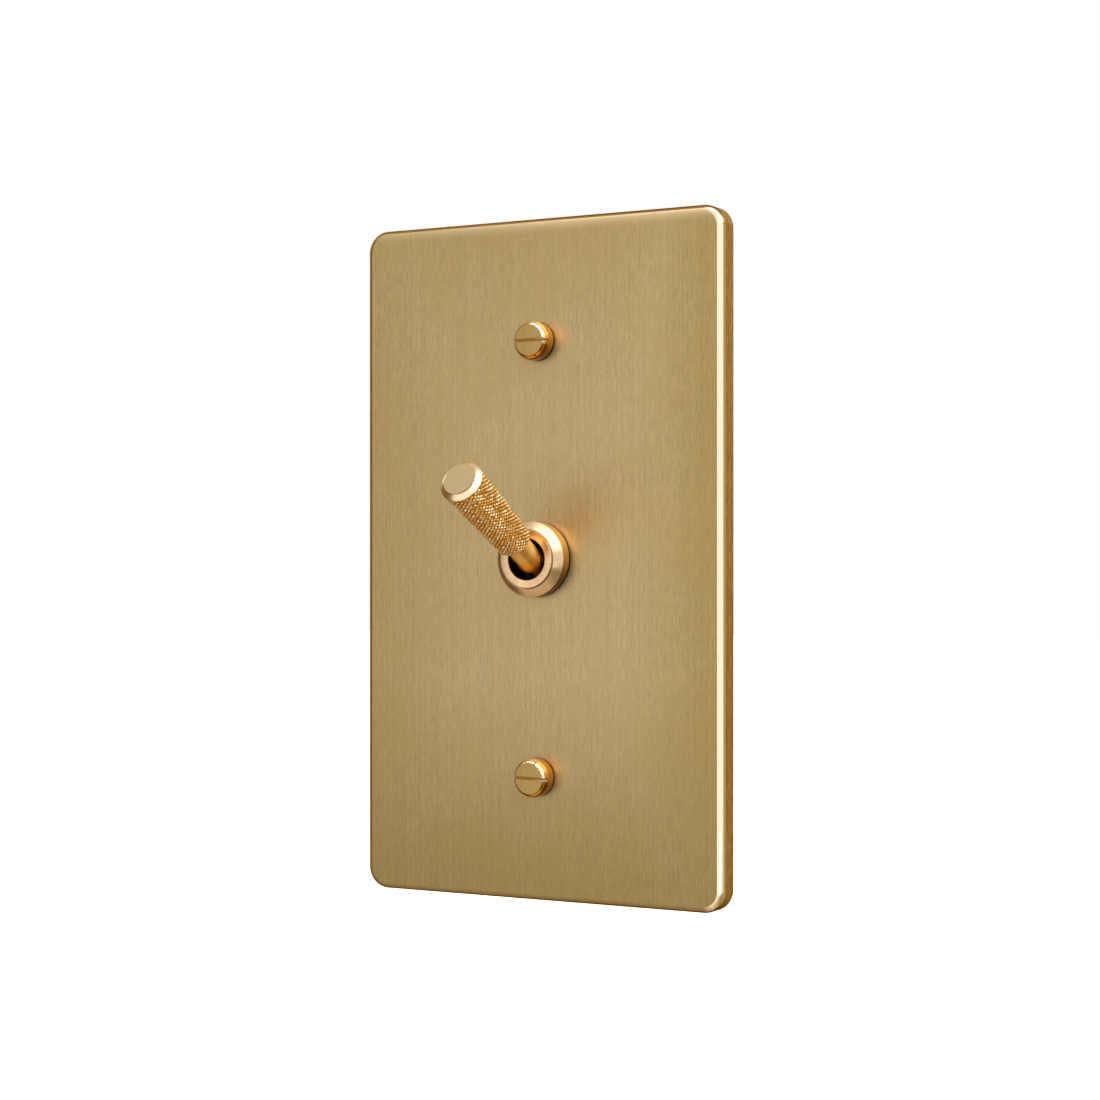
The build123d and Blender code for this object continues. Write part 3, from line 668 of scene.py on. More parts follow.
def knurled_finish(settings):
    """Polished brass with painted shade in the grooves and round the tip's step, crests paler from wear and a
    painted highlight, a chamfer paler from a painted highlight, and a satin tip.
    """
    finish = Finish("knurled_brass").on_axis(PIVOT + LEVER_AXIS * settings.start, LEVER_AXIS)
    mix, end = finish.mix, settings.length
    along = finish.parts(finish.place)[2]
    knurl_end = end - settings.tip_bevel - settings.tip_step
    taper = along.ramp(settings.base_chamfer, knurl_end, settings.base / 2, settings.tip / 2)
    sunk = (taper - finish.radius(finish.place)) / settings.depth
    # Painted shade in the grooves
    tone = mix(sunk.ramp(0.7, 1.0), settings.flank, settings.groove)
    # Worn crests are paler in clumps, partly wear and partly a painted highlight
    clump_scale = 620.0
    clumps = finish.noise(finish.place, clump_scale, 2.0).ramp(0.44, 0.64)
    tone = mix(sunk.ramp(0.8, 0.5) * clumps, tone, settings.crest)
    # Painted highlight on the polished chamfer at the tip
    beyond = along.ramp(knurl_end, knurl_end + 0.2 * MM)
    tone = mix(beyond, tone, settings.chamfer_tint)
    # Painted shade on the step round the tip's flat
    on_step = along.ramp(end - settings.tip_step, end - 0.7 * settings.tip_step)
    tone = mix(on_step, tone, settings.groove)
    on_tip = along.ramp(end - 0.01 * MM, end - 0.002 * MM)
    tone = mix(on_tip, tone, settings.tip_tint)
    rough = beyond.ramp(0.0, 1.0, 0.14, 0.27).most(on_tip.ramp(0.0, 1.0, 0.0, 0.34))
    finish.feed(Base_Color=tone, Roughness=rough)
    return finish.relief(finish.group(turned_lines, Feed=0.12 * MM)["Rings"], 0.003 * MM)


def bushing_finish(tint, bore):
    """Turned brass outside, darkened with painted shade inside the bore that the lever swings in."""
    finish = Finish("bushing_brass").on_axis(Vector(), OUT_OF_WALL)
    rings = finish.group(turned_lines, Feed=0.12 * MM)["Rings"]
    # Painted shade inside the bore
    outside = finish.radius(finish.place).ramp(bore / 2 + 0.05 * MM, bore / 2 + 0.4 * MM)
    tone = finish.mix(outside, BORE_SHADE, finish.vary(rings, tint, 0.9, 1.05))
    finish.feed(Base_Color=tone, Roughness=rings.ramp(0.25, 0.75, 0.28, 0.42))
    return finish.relief(rings, 0.004 * MM)


def sheet_finish(name, tint, rough):
    """Rolled sheet metal with faint rolling lines and tarnish."""
    finish = Finish(name)
    rolled = finish.group(brushed_lines, Width=0.25 * MM, Length=9.0 * MM)["Lines"]
    aged_and_shaded = finish.group(tarnish, Scale=220.0)
    tone = finish.vary(rolled, tint, 0.78, 1.08)
    tone = finish.mix(aged_and_shaded["Spots"] * 0.25, tone, shade(tint, 0.45))
    finish.feed(Base_Color=tone, Roughness=aged_and_shaded["Shade"].ramp(0.3, 0.7, *rough))
    return finish.relief(rolled, 0.006 * MM)


def moulded_finish(name, tint, rough, grain, relief):
    """Moulded or pressed material with a fine grain."""
    finish = Finish(name, metallic=0.0)
    aged_and_shaded = finish.group(tarnish, Scale=grain)["Shade"]
    tone = finish.vary(aged_and_shaded, tint, 0.82, 1.15)
    finish.feed(Base_Color=tone, Roughness=aged_and_shaded.ramp(0.3, 0.7, *rough))
    return finish.relief(aged_and_shaded, relief)


# Roughness of rolled stock, and of moulded stock with the scale and the relief of its grain
SHEETS = {
    "spring_steel": (0.3, 0.42),
    "tinned_brass": (0.32, 0.5),
    "blade_copper": (0.3, 0.42),
    "contact_silver": (0.18, 0.3),
    "terminal_brass": (0.3, 0.42),
    "plated_steel": (0.24, 0.36),
    "green_brass": (0.3, 0.45),
}
MOULDINGS = {
    "nylon": ((0.4, 0.55), 900.0, 0.01 * MM),
    "black_moulding": ((0.38, 0.52), 1400.0, 0.015 * MM),
    "fibre_sheet": ((0.6, 0.8), 2500.0, 0.02 * MM),
}


def stock(name):
    """A new material for a kind of stock."""
    tint = getattr(bpy.context.scene.switch_settings.stock, name)
    if name in SHEETS:
        return sheet_finish(name, tint, SHEETS[name])
    return moulded_finish(name, tint, *MOULDINGS[name])


def turning_frame(origin, axis):
    """A frame with its origin on an axis and its Z along it."""
    return Matrix.Translation(origin) @ axis.to_track_quat("Z", "Y").to_matrix().to_4x4()


def eased(corners, steps=4):
    """A half section from (radius, along, rounding) corners, with arcs in place of the rounded ones."""
    points = []
    for index, (radius, along, rounding) in enumerate(corners):
        here = Vector((radius, along))
        if not rounding:
            points.append(here)
            continue
        before = (Vector(corners[index - 1][:2]) - here).normalized()
        after = (Vector(corners[(index + 1) % len(corners)][:2]) - here).normalized()
        half = before.angle(after) / 2
        reach = rounding / math.tan(half)
        centre = here + (before + after).normalized() * rounding / math.sin(half)
        first = here + before * reach - centre
        sweep = first.angle_signed(here + after * reach - centre)
        for step in range(steps + 1):
            points.append(centre + Matrix.Rotation(-sweep * step / steps, 2) @ first)
    return points


def ring(mesh, radii, along):
    """A ring of vertices about Z, one for each radius."""
    turns = [TAU * step / len(radii) for step in range(len(radii))]
    spots = [(r * math.cos(turn), r * math.sin(turn), along) for r, turn in zip(radii, turns)]
    return [mesh.verts.new(spot) for spot in spots]


def join(mesh, first, second):
    """Faces between two loops of as many vertices, triangles where one is a pole."""
    for i in range(len(first)):
        corners = dict.fromkeys((first[i - 1], first[i], second[i], second[i - 1]))
        if len(corners) > 2:
            mesh.faces.new(corners)


def rim(mesh, loop):
    """The edges of a closed loop of vertices."""
    return [mesh.edges.get((loop[i - 1], loop[i])) for i in range(len(loop))]


def spin(mesh, profile, segments, closed=False):
    """Turns a half section about Z into rings of faces, with poles where the radius is zero."""
    rings = []
    for radius, along in profile:
        if radius < WELD:
            rings.append([mesh.verts.new((0, 0, along))] * segments)
        else:
            rings.append(ring(mesh, [radius] * segments, along))
    for low, high in zip(rings, rings[1:] + (rings[:1] if closed else [])):
        join(mesh, low, high)


def plain(mesh):
    """A plain mesh from one under construction."""
    data = bpy.data.meshes.new("mesh")
    mesh.to_mesh(data)
    mesh.free()
    return data


def settled(mesh, place=None):
    """A plain mesh from one under construction, with its doubles merged and its faces outward."""
    bmesh.ops.remove_doubles(mesh, verts=mesh.verts, dist=WELD)
    bmesh.ops.recalc_face_normals(mesh, faces=mesh.faces)
    if place:
        mesh.transform(place)
    return plain(mesh)


def placed(name, data):
    """A new object in the scene."""
    thing = bpy.data.objects.new(name, data)
    bpy.context.scene.collection.objects.link(thing)
    return thing


def dressed(name, data, material, body, slot, *nodes):
    """A piece from a finished mesh: shaded, dressed and set on its body."""
    data.name = name
    data.materials.clear()
    data.materials.append(material)
    data.shade_smooth()
    data.set_sharp_from_angle(angle=SMOOTH_ANGLE)
    piece = placed(name, data)
    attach(piece, body)
    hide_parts(*nodes)
    return piece


def wrap(data, place):
    """A UV map that runs round an axis and along it, so that its tangent follows a lathe tool's marks."""
    layer = data.uv_layers.new(name=TURNED_MAP)
    inverse = place.inverted()
    for face in data.polygons:
        spots = [inverse @ data.vertices[data.loops[i].vertex_index].co for i in face.loop_indices]
        turns = [math.atan2(spot.y, spot.x) / TAU for spot in spots]
        if max(turns) - min(turns) > 0.5:
            turns = [turn % 1.0 for turn in turns]
        for i, turn, spot in zip(face.loop_indices, turns, spots):
            layer.uv[i].vector = (turn, spot.z / MAP_LENGTH)


def eased_copy(node, material, body, slot, width, segments=2):
    """A node's own shape with its sharp edges rounded by a width in millimetres."""
    mesh = bmesh.new()
    mesh.from_mesh(frame["nodes"][node].data)
    bmesh.ops.remove_doubles(mesh, verts=mesh.verts, dist=WELD)
    bmesh.ops.dissolve_limit(mesh, angle_limit=FLAT_ANGLE, verts=mesh.verts, edges=mesh.edges)
    sharp = [edge for edge in mesh.edges if edge.is_manifold and edge.calc_face_angle() > SMOOTH_ANGLE]
    rounding = {"offset": width * MM, "segments": segments, "profile": 0.5}
    bmesh.ops.bevel(mesh, geom=sharp, affect="EDGES", clamp_overlap=True, **rounding)
    return dressed(node + "_eased", plain(mesh), material, body, slot, node)


def applied(thing):
    """The plain mesh that an object's modifier makes, after which the object goes."""
    graph = bpy.context.evaluated_depsgraph_get()
    data = bpy.data.meshes.new_from_object(thing.evaluated_get(graph))
    bpy.data.objects.remove(thing)
    return data


def grown(tree, inputs):
    """The plain mesh that a geometry tree makes with its named inputs set."""
    blank = placed(tree.name, bpy.data.meshes.new(tree.name))
    modifier = blank.modifiers.new(tree.name, "NODES")
    modifier.node_group = tree
    for item in tree.interface.items_tree:
        if item.in_out == "INPUT" and item.name in inputs:
            modifier[item.identifier] = inputs[item.name]
    return applied(blank)


KNURL_SIZES = (
    "length", "base", "tip", "base_chamfer", "tip_chamfer", "tip_bevel", "tip_step",
    "depth", "flat_tops", "run_out", "wear",
)
KNURL_COUNTS = ("crests", "rows", "samples")


def label(setting):
    """A setting's name as a socket shows it."""
    return setting.replace("_", " ").title()


def knurl(name):
    """A tapered skin cut by two crossing sets of helical grooves, trimmed by a chamfer at each end."""
    sockets = {label(size): "Float" for size in KNURL_SIZES}
    tree = Growth(name, sockets | {label(many): "Int" for many in KNURL_COUNTS})
    size, clump_scale, groove_end = tree.given, 1300.0, 0.15
    base, tip = size["Base"] / 2, size["Tip"] / 2
    columns, lines = size["Crests"] * size["Samples"], size["Rows"] * size["Samples"]
    grid_inputs = {"Size X": 1.0, "Size Y": 1.0, "Vertices X": columns + 1.0, "Vertices Y": lines + 1.0}
    grid = tree.value("GeometryNodeMeshGrid", grid_inputs)
    x, y, _ = tree.parts(tree.value("GeometryNodeInputPosition"))
    around, share = x + 0.5, y + 0.5
    along = share * size["Length"]
    turn = around * TAU
    cosine, sine = tree.math("COSINE", turn), tree.math("SINE", turn)
    # Two crossing sets of waves, each zero in its grooves and one on its crests
    column, row = around * size["Crests"], share * size["Rows"]
    rising, falling = (abs(tree.math("SINE", wave * math.pi)) for wave in (column + row, column - row))
    diamond = tree.math("MULTIPLY", rising * falling, size["Flat Tops"], clamp=True)
    # Worn crests are lower, in small clumps
    clumps = tree.noise(tree.vector(tip * cosine, tip * sine, along), clump_scale, 1.0)
    crest = diamond * (1.0 - clumps.ramp(0.38, 0.62) * size["Wear"])
    # The taper runs from chamfer to chamfer, and the grooves run out just before the tip's
    tip_start = size["Length"] - size["Tip Bevel"] - size["Tip Step"]
    taper = along.ramp(size["Base Chamfer"], tip_start, base, tip)
    depth = size["Depth"] * along.ramp(tip_start - size["Run Out"], tip_start, 1.0, groove_end)
    knurled = taper - (1.0 - crest) * depth
    base_trim = base - size["Base Chamfer"] + along
    tip_trim = along.ramp(tip_start, tip_start + size["Tip Bevel"], tip, tip - size["Tip Chamfer"])
    radius = knurled.least(base_trim.least(tip_trim))
    point = tree.vector(radius * cosine, radius * sine, along)
    skin = tree.value("GeometryNodeSetPosition", {"Geometry": grid, "Position": point})
    closed = tree.value("GeometryNodeMergeByDistance", {"Geometry": skin, "Distance": WELD})
    return tree.give(tree.value("GeometryNodeTriangulate", {"Mesh": closed}, quad_method="SHORTEST_DIAGONAL"))


def screw_row(name):
    """A row of like screws along a step, each turned a little further about its axis."""
    sockets = {"Screw": "Object", "Count": "Int", "First Turn": "Float", "Turn Step": "Float"}
    tree = Growth(name, sockets | dict.fromkeys(("First", "Step", "Axis"), "Vector"))
    given = tree.given
    row_inputs = {"Count": given["Count"], "Start Location": given["First"], "Offset": given["Step"]}
    row = tree.value("GeometryNodeMeshLine", row_inputs)
    screw = tree.value("GeometryNodeObjectInfo", {"Object": given["Screw"]}, "Geometry")
    turn = given["First Turn"] + tree.value("GeometryNodeInputIndex") * given["Turn Step"]
    rotation = tree.value("FunctionNodeAxisAngleToRotation", {"Axis": given["Axis"], "Angle": turn})
    points = {"Points": row, "Instance": screw, "Rotation": rotation}
    return tree.give(tree.value("GeometryNodeInstanceOnPoints", points))


def coil(name):
    """A coil of round wire about Z, from its start upwards."""
    tree = Growth(name, dict.fromkeys(("Turns", "Radius", "Wire Radius", "Height"), "Float"))
    given = tree.given
    path_inputs = {
        "Resolution": COIL_STEPS,
        "Rotations": given["Turns"],
        "Start Radius": given["Radius"],
        "End Radius": given["Radius"],
        "Height": given["Height"],
    }
    path = tree.value("GeometryNodeCurveSpiral", path_inputs)
    section_inputs = {"Resolution": WIRE_SIDES, "Radius": given["Wire Radius"]}
    section = tree.value("GeometryNodeCurvePrimitiveCircle", section_inputs)
    wire_inputs = {"Curve": path, "Profile Curve": section, "Fill Caps": True}
    return tree.give(tree.value("GeometryNodeCurveToMesh", wire_inputs))


def thread(mesh, radius, pitch, end, high):
    """A closed shank about Z with a helical thread of V section and a pointed end."""
    depth = THREAD_DEPTH * pitch
    core = radius - depth
    low = end + POINT_LENGTH
    spin(mesh, ((0, end), (core - POINT_TAPER, end), (core, low)), SHANK_SEGMENTS)
    spin(mesh, ((core, high), (0, high)), SHANK_SEGMENTS)
    rows = round((high - low) / pitch * THREAD_STEPS)
    rings = []
    for row in range(rows + 1):
        along = low + (high - low) * row / rows
        height = depth * min(1.0, (high - along) / pitch, (along - low) / pitch)
        phases = [(along / pitch - step / SHANK_SEGMENTS) % 1.0 for step in range(SHANK_SEGMENTS)]
        rings.append(ring(mesh, [core + height * abs(2 * phase - 1) for phase in phases], along))
    for lower, upper in zip(rings, rings[1:]):
        join(mesh, lower, upper)


def slotted(data, width, depth, top, reach):
    """A screw's mesh with a straight slot cut across its head."""
    half, ease = width / 2, SLOT_EASE * width
    outline = [(half, -depth), (half, -ease), (half + 2 * ease, ease)]
    outline += [(-y, z) for y, z in reversed(outline)]
    mesh = bmesh.new()
    ends = [[mesh.verts.new((x, y, top + z)) for y, z in outline] for x in (-4 * reach, 4 * reach)]
    for end in ends:
        mesh.faces.new(end)
    join(mesh, *ends)
    cutter, screw = placed("slot_cutter", settled(mesh)), placed("slot_screw", data)
    cut = screw.modifiers.new("slot", "BOOLEAN")
    cut.object = cutter
    cut.operation = "DIFFERENCE"
    cut.solver = "EXACT"
    result = applied(screw)
    bpy.data.objects.remove(cutter)
    return result


def slotted_screw(head, slot, shank):
    """A screw about Z: its head turned from a half section and slotted, and its threaded shank."""
    mesh = bmesh.new()
    spin(mesh, head, SCREW_SEGMENTS)
    reach = max(radius for radius, _ in head)
    cut = slotted(settled(mesh), *slot, head[-1][1], reach)
    mesh = bmesh.new()
    mesh.from_mesh(cut)
    thread(mesh, *shank)
    return settled(mesh)


def row_of(screw, material, many, first, step, axis, turns=(0.0, 0.0)):
    """The mesh of a row of screws that point along an axis, from the mesh of one about Z."""
    screw.transform(turning_frame(Vector(), axis))
    pattern = bpy.data.objects.new("screw", screw)
    inputs = {"Screw": pattern, "Material": material, "Count": many}
    inputs |= {"First": first, "Step": step, "Axis": axis}
    inputs["First Turn"], inputs["Turn Step"] = turns
    data = grown(shared(screw_row), inputs)
    bpy.data.objects.remove(pattern)
    return data


class SWITCH_OT_wall_plate(bpy.types.Operator):
    """Build the brushed brass wall plate with its rounded edge and hollow back"""

    bl_idname = "switch.wall_plate"
    bl_label = "Wall Plate"

    CORNER_STEPS = 16
    EDGE_STEPS = 12
    HOLE_STEPS = 64
    FACE_MARGIN = 0.08 * MM
    QUARTERS = ((1, 1), (-1, 1), (-1, -1), (1, -1))

    def loop(self, mesh, inset, height, corner):
        """A rounded rectangle of vertices at a height out of the wall."""
        half_x = (PLATE_HIGH.x - PLATE_LOW.x) / 2 - inset
        half_z = (PLATE_HIGH.z - PLATE_LOW.z) / 2 - inset
        corner = max(corner, WELD)
        verts = []
        for quarter, (side_x, side_z) in enumerate(self.QUARTERS):
            for step in range(self.CORNER_STEPS + 1):
                turn = TAU / 4 * (quarter + step / self.CORNER_STEPS)
                x = side_x * (half_x - corner) + corner * math.cos(turn)
                z = side_z * (half_z - corner) + corner * math.sin(turn)
                verts.append(mesh.verts.new((x, -height, z)))
        return verts

    def hole(self, mesh, diameter, z, low, high):
        """The wall of a round hole, and its two ends."""
        ends = []
        for height in (low, high):
            ends.append(ring(mesh, [diameter / 2] * self.HOLE_STEPS, 0))
            for vertex in ends[-1]:
                vertex.co = (vertex.co.x, -height, z + vertex.co.y)
        join(mesh, *ends)
        return ends

    def execute(self, context):
        settings = context.scene.switch_settings.plate
        depth, edge, corner = -PLATE_FRONT, settings.edge, settings.corner
        ease, pocket, web_back = settings.back_ease, settings.pocket_corner, depth - settings.web
        flat = edge + self.FACE_MARGIN
        rows = [(flat, depth, corner - flat)]
        for step in range(self.EDGE_STEPS + 1):
            turn = TAU / 4 * step / self.EDGE_STEPS
            inset = edge * (1 - math.sin(turn))
            rows.append((inset, depth - edge * (1 - math.cos(turn)), corner - inset))
        rows += [
            (0, ease, corner),
            (ease, 0, corner - ease),
            (settings.rim - ease, 0, pocket + ease),
            (settings.rim, ease, pocket),
            (settings.rim, web_back, pocket),
        ]
        mesh = bmesh.new()
        loops = [self.loop(mesh, *row) for row in rows]
        for first, second in zip(loops, loops[1:]):
            join(mesh, first, second)
        front, back = rim(mesh, loops[0]), rim(mesh, loops[-1])
        half, screw_hole = settings.screw_spacing / 2, settings.screw_hole
        for diameter, z in ((settings.bushing_hole, 0), (screw_hole, half), (screw_hole, -half)):
            behind, before = self.hole(mesh, diameter, z, web_back, depth)
            front += rim(mesh, before)
            back += rim(mesh, behind)
        for edges in (front, back):
            bmesh.ops.triangle_fill(mesh, use_beauty=True, use_dissolve=False, edges=edges)
        material = brushed_plate_finish(settings)
        dressed("wall_plate", settled(mesh), material, "base", "brushed_brass", "face_plate")
        return {"FINISHED"}


class SWITCH_OT_plate_screws(bpy.types.Operator):
    """Build the two slotted brass screws that hold the plate"""

    bl_idname = "switch.plate_screws"
    bl_label = "Plate Screws"

    WALL_EASE = 0.07 * MM
    MIDDLE_EASE = 0.05 * MM
    FLAT_EASE = 0.06 * MM

    def execute(self, context):
        settings, plate = context.scene.switch_settings.screws, context.scene.switch_settings.plate
        corners = (
            (0, -settings.neck_length, 0),
            (settings.neck / 2, -settings.neck_length, 0),
            (settings.neck / 2, 0, 0),
            (settings.head / 2, 0, context.scene.switch_settings.turned.foot),
            (settings.head / 2, settings.wall, self.WALL_EASE),
            (settings.middle / 2, settings.middle_height, self.MIDDLE_EASE),
            (settings.flat / 2, settings.head_height, self.FLAT_EASE),
            (0, settings.head_height, 0),
        )
        slot = (settings.slot_width, settings.slot_depth)
        shank = (settings.shank / 2, settings.pitch, -settings.shank_length, -settings.neck_length + SEATED)
        screw = slotted_screw(eased(corners), slot, shank)
        first = Vector((0, PLATE_FRONT, -plate.screw_spacing / 2))
        step = Vector((0, 0, plate.screw_spacing))
        material = screw_finish(settings, plate)
        turns = (settings.first_turn, settings.turn_step)
        pair = row_of(screw, material, 2, first, step, OUT_OF_WALL, turns)
        dressed("plate_screw_pair", pair, material, "base", "polished_brass", "plate_screws")
        return {"FINISHED"}


class SWITCH_OT_collar(bpy.types.Operator):
    """Build the turned brass collar round the lever"""

    bl_idname = "switch.collar"
    bl_label = "Collar"

    SEGMENTS = 160
    WALL_EASE = 0.09 * MM
    LEDGE_EASE = 0.03 * MM
    LEDGE_SLOPE = 0.1 * MM
    LAND_EASE = 0.05 * MM
    OPENING_EASE = 0.12 * MM

    def execute(self, context):
        settings = context.scene.switch_settings.turned
        radius = (COLLAR_HIGH.x - COLLAR_LOW.x) / 2
        height = COLLAR_HIGH.y - COLLAR_LOW.y
        bore, land, opening = settings.bore / 2, settings.land / 2, settings.opening / 2
        corners = (
            (bore, 0, 0),
            (radius, 0, settings.foot),
            (radius, settings.wall, self.WALL_EASE),
            (land + settings.ledge, height - settings.step + self.LEDGE_SLOPE, self.LEDGE_EASE),
            (land, height - settings.step, 0),
            (land - self.LAND_EASE, height, self.LAND_EASE),
            (opening, height, self.OPENING_EASE),
            (opening, height - settings.lip, self.LAND_EASE),
            (bore, height - settings.lip, 0),
        )
        mesh = bmesh.new()
        spin(mesh, eased(corners), self.SEGMENTS, closed=True)
        seat = Vector((0, COLLAR_HIGH.y, 0))
        data = settled(mesh, turning_frame(seat, OUT_OF_WALL))
        material = collar_finish(settings, seat, height)
        dressed("collar_ring", data, material, "base", "turned_brass", "collar")
        return {"FINISHED"}


class SWITCH_OT_lever(bpy.types.Operator):
    """Build the lever's stem, its rounded heel, trunnions and hollow tail"""

    bl_idname = "switch.lever"
    bl_label = "Lever"

    SEGMENTS = 96
    HEEL_STEPS = 16
    PIN_SEGMENTS = 32
    EASE = 0.1 * MM

    def execute(self, context):
        settings = context.scene.switch_settings.turned
        start = context.scene.switch_settings.knurl.start
        stem, tail, heel = settings.stem / 2, settings.tail / 2, settings.heel
        bore, spigot = settings.tail_bore / 2, settings.spigot / 2
        bore_end, tail_end = settings.tail_bore_depth - settings.tail_length, -settings.tail_length
        profile = [(0, bore_end), (bore, bore_end), (bore, tail_end), (tail, tail_end)]
        low, high = -math.acos(tail / heel), math.acos(stem / heel)
        for step in range(self.HEEL_STEPS + 1):
            turn = low + (high - low) * step / self.HEEL_STEPS
            profile.append((heel * math.cos(turn), heel * math.sin(turn)))
        end = start + settings.spigot_length
        profile += [(stem, start - self.EASE), (stem - self.EASE, start)]
        profile += [(spigot, start), (spigot, end), (0, end)]
        place = turning_frame(PIVOT, LEVER_AXIS)
        mesh = bmesh.new()
        spin(mesh, profile, self.SEGMENTS)
        mesh.transform(place)
        low_corner, high_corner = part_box("lever")
        half, radius = (high_corner.x - low_corner.x) / 2, settings.trunnion / 2
        pin = bmesh.new()
        corners = ((0, -half, 0), (radius, -half, self.EASE), (radius, half, self.EASE), (0, half, 0))
        spin(pin, eased(corners), self.PIN_SEGMENTS)
        pin.transform(turning_frame(PIVOT, Vector((1, 0, 0))))
        mesh.from_mesh(plain(pin))
        material = lever_finish(settings)
        piece = dressed("lever_stem", settled(mesh), material, "toggle", "lever_brass", "lever")
        wrap(piece.data, place)
        return {"FINISHED"}


class SWITCH_OT_knurled_grip(bpy.types.Operator):
    """Build the tapered grip with its diamond knurl, chamfered tip and bored base"""

    bl_idname = "switch.knurled_grip"
    bl_label = "Knurled Grip"

    TIP_RIM = 0.05 * MM

    def execute(self, context):
        settings = context.scene.switch_settings.knurl
        material = knurled_finish(settings)
        inputs = {label(name): getattr(settings, name) for name in KNURL_SIZES + KNURL_COUNTS}
        mesh = bmesh.new()
        mesh.from_mesh(grown(shared(knurl), {"Material": material, **inputs}))
        columns = settings.crests * settings.samples
        tip = settings.tip / 2 - settings.tip_chamfer
        base = settings.base / 2 - settings.base_chamfer
        bore, end, bore_end = settings.bore / 2, settings.length, settings.bore_depth
        spin(mesh, ((tip, end), (tip - self.TIP_RIM, end), (0, end)), columns)
        spin(mesh, ((0, bore_end), (bore, bore_end), (bore, 0), (base, 0)), columns)
        place = turning_frame(PIVOT + LEVER_AXIS * settings.start, LEVER_AXIS)
        dressed("grip", settled(mesh, place), material, "toggle", "knurled_brass", "knurled_grip")
        return {"FINISHED"}


class SWITCH_OT_bushing(bpy.types.Operator):
    """Build the threaded bushing that carries the trunnions, with its washer and earth tag"""

    bl_idname = "switch.bushing"
    bl_label = "Bushing and Washers"

    def execute(self, context):
        settings = context.scene.switch_settings
        brass = bushing_finish(settings.stock.bushing_brass, settings.turned.opening)
        eased_copy("bushing", brass, "base", "bushing_brass", 0.08)
        eased_copy("lock_washer", stock("spring_steel"), "base", "spring_steel", 0.05)
        eased_copy("earth_tag", stock("tinned_brass"), "base", "tinned_brass", 0.06)
        return {"FINISHED"}


class SWITCH_OT_inner_works(bpy.types.Operator):
    """Build the plunger, the rocking blade, its contacts and the terminals"""

    bl_idname = "switch.inner_works"
    bl_label = "Inner Works"

    def execute(self, context):
        eased_copy("plunger", stock("nylon"), "toggle", "nylon", 0.05)
        eased_copy("rocker_blade", stock("blade_copper"), "rocker", "blade_copper", 0.06)
        silver, strap = stock("contact_silver"), stock("terminal_brass")
        eased_copy("rocker_contacts", silver, "rocker", "contact_silver", 0.12)
        eased_copy("fixed_contacts", silver, "base", "contact_silver", 0.12)
        for node in ("lower_terminal", "upper_terminal", "common_terminal"):
            eased_copy(node, strap, "base", "terminal_brass", 0.08)
        return {"FINISHED"}


class SWITCH_OT_small_screws(bpy.types.Operator):
    """Build the cover frame, the terminal screws and the earth screw"""

    bl_idname = "switch.small_screws"
    bl_label = "Frame and Small Screws"

    FOOT_EASE = 0.1 * MM
    TOP_EASE = 0.3 * MM

    def screw(self, settings, diameter, end):
        """A cheese-head screw with its seat at zero and its shank down to an end."""
        radius, height = settings.small_head / 2, settings.small_height
        corners = ((0, 0, 0), (radius, 0, self.FOOT_EASE), (radius, height, self.TOP_EASE), (0, height, 0))
        slot = (settings.small_slot_width, settings.small_slot_depth)
        return slotted_screw(eased(corners), slot, (diameter / 2, settings.small_pitch, end, SEATED))

    def execute(self, context):
        settings = context.scene.switch_settings.screws
        plated, green = stock("plated_steel"), stock("green_brass")
        eased_copy("cover_frame", plated, "base", "plated_steel", 0.12)
        low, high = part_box("terminal_screws")
        last = high.z - settings.small_head / 2
        seat = Vector((0, high.y - settings.small_height, -last))
        screw = self.screw(settings, settings.terminal_shank, low.y - seat.y)
        trio = row_of(screw, plated, 3, seat, Vector((0, 0, last)), -OUT_OF_WALL)
        dressed("terminal_screw_row", trio, plated, "base", "plated_steel", "terminal_screws")
        low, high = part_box("earth_screw")
        seat = Vector((0, (low.y + high.y) / 2, low.z + settings.small_height))
        screw = self.screw(settings, settings.earth_shank, seat.z - high.z)
        single = row_of(screw, green, 1, seat, Vector(), Vector((0, 0, -1)))
        dressed("earth_screw_green", single, green, "base", "green_brass", "earth_screw")
        return {"FINISHED"}


class SWITCH_OT_case(bpy.types.Operator):
    """Build the moulded case and the fibre sheet over it"""

    bl_idname = "switch.case"
    bl_label = "Case"

    def execute(self, context):
        eased_copy("switch_case", stock("black_moulding"), "base", "black_moulding", 0.18, 3)
        eased_copy("insulator_sheet", stock("fibre_sheet"), "base", "fibre_sheet", 0.05)
        return {"FINISHED"}


class SWITCH_OT_spring(bpy.types.Operator):
    """Build the plunger's coil spring, in the plain steel of the solids"""

    bl_idname = "switch.spring"
    bl_label = "Plunger Spring"

    def execute(self, context):
        settings, turned = context.scene.switch_settings.spring, context.scene.switch_settings.turned
        end_gap = settings.gap + settings.wire / 2
        low = settings.plunger_inside - turned.tail_length + end_gap
        high = turned.tail_bore_depth - turned.tail_length - end_gap
        steel = bpy.data.materials["spring_steel"]
        inputs = {
            "Material": steel,
            "Turns": settings.turns,
            "Radius": (settings.diameter - settings.wire) / 2,
            "Wire Radius": settings.wire / 2,
            "Height": high - low,
        }
        mesh = bmesh.new()
        mesh.from_mesh(grown(shared(coil), inputs))
        place = turning_frame(PIVOT + LEVER_AXIS * low, LEVER_AXIS)
        dressed("plunger_coil", settled(mesh, place), steel, "toggle", "spring_steel", "plunger_spring")
        return {"FINISHED"}


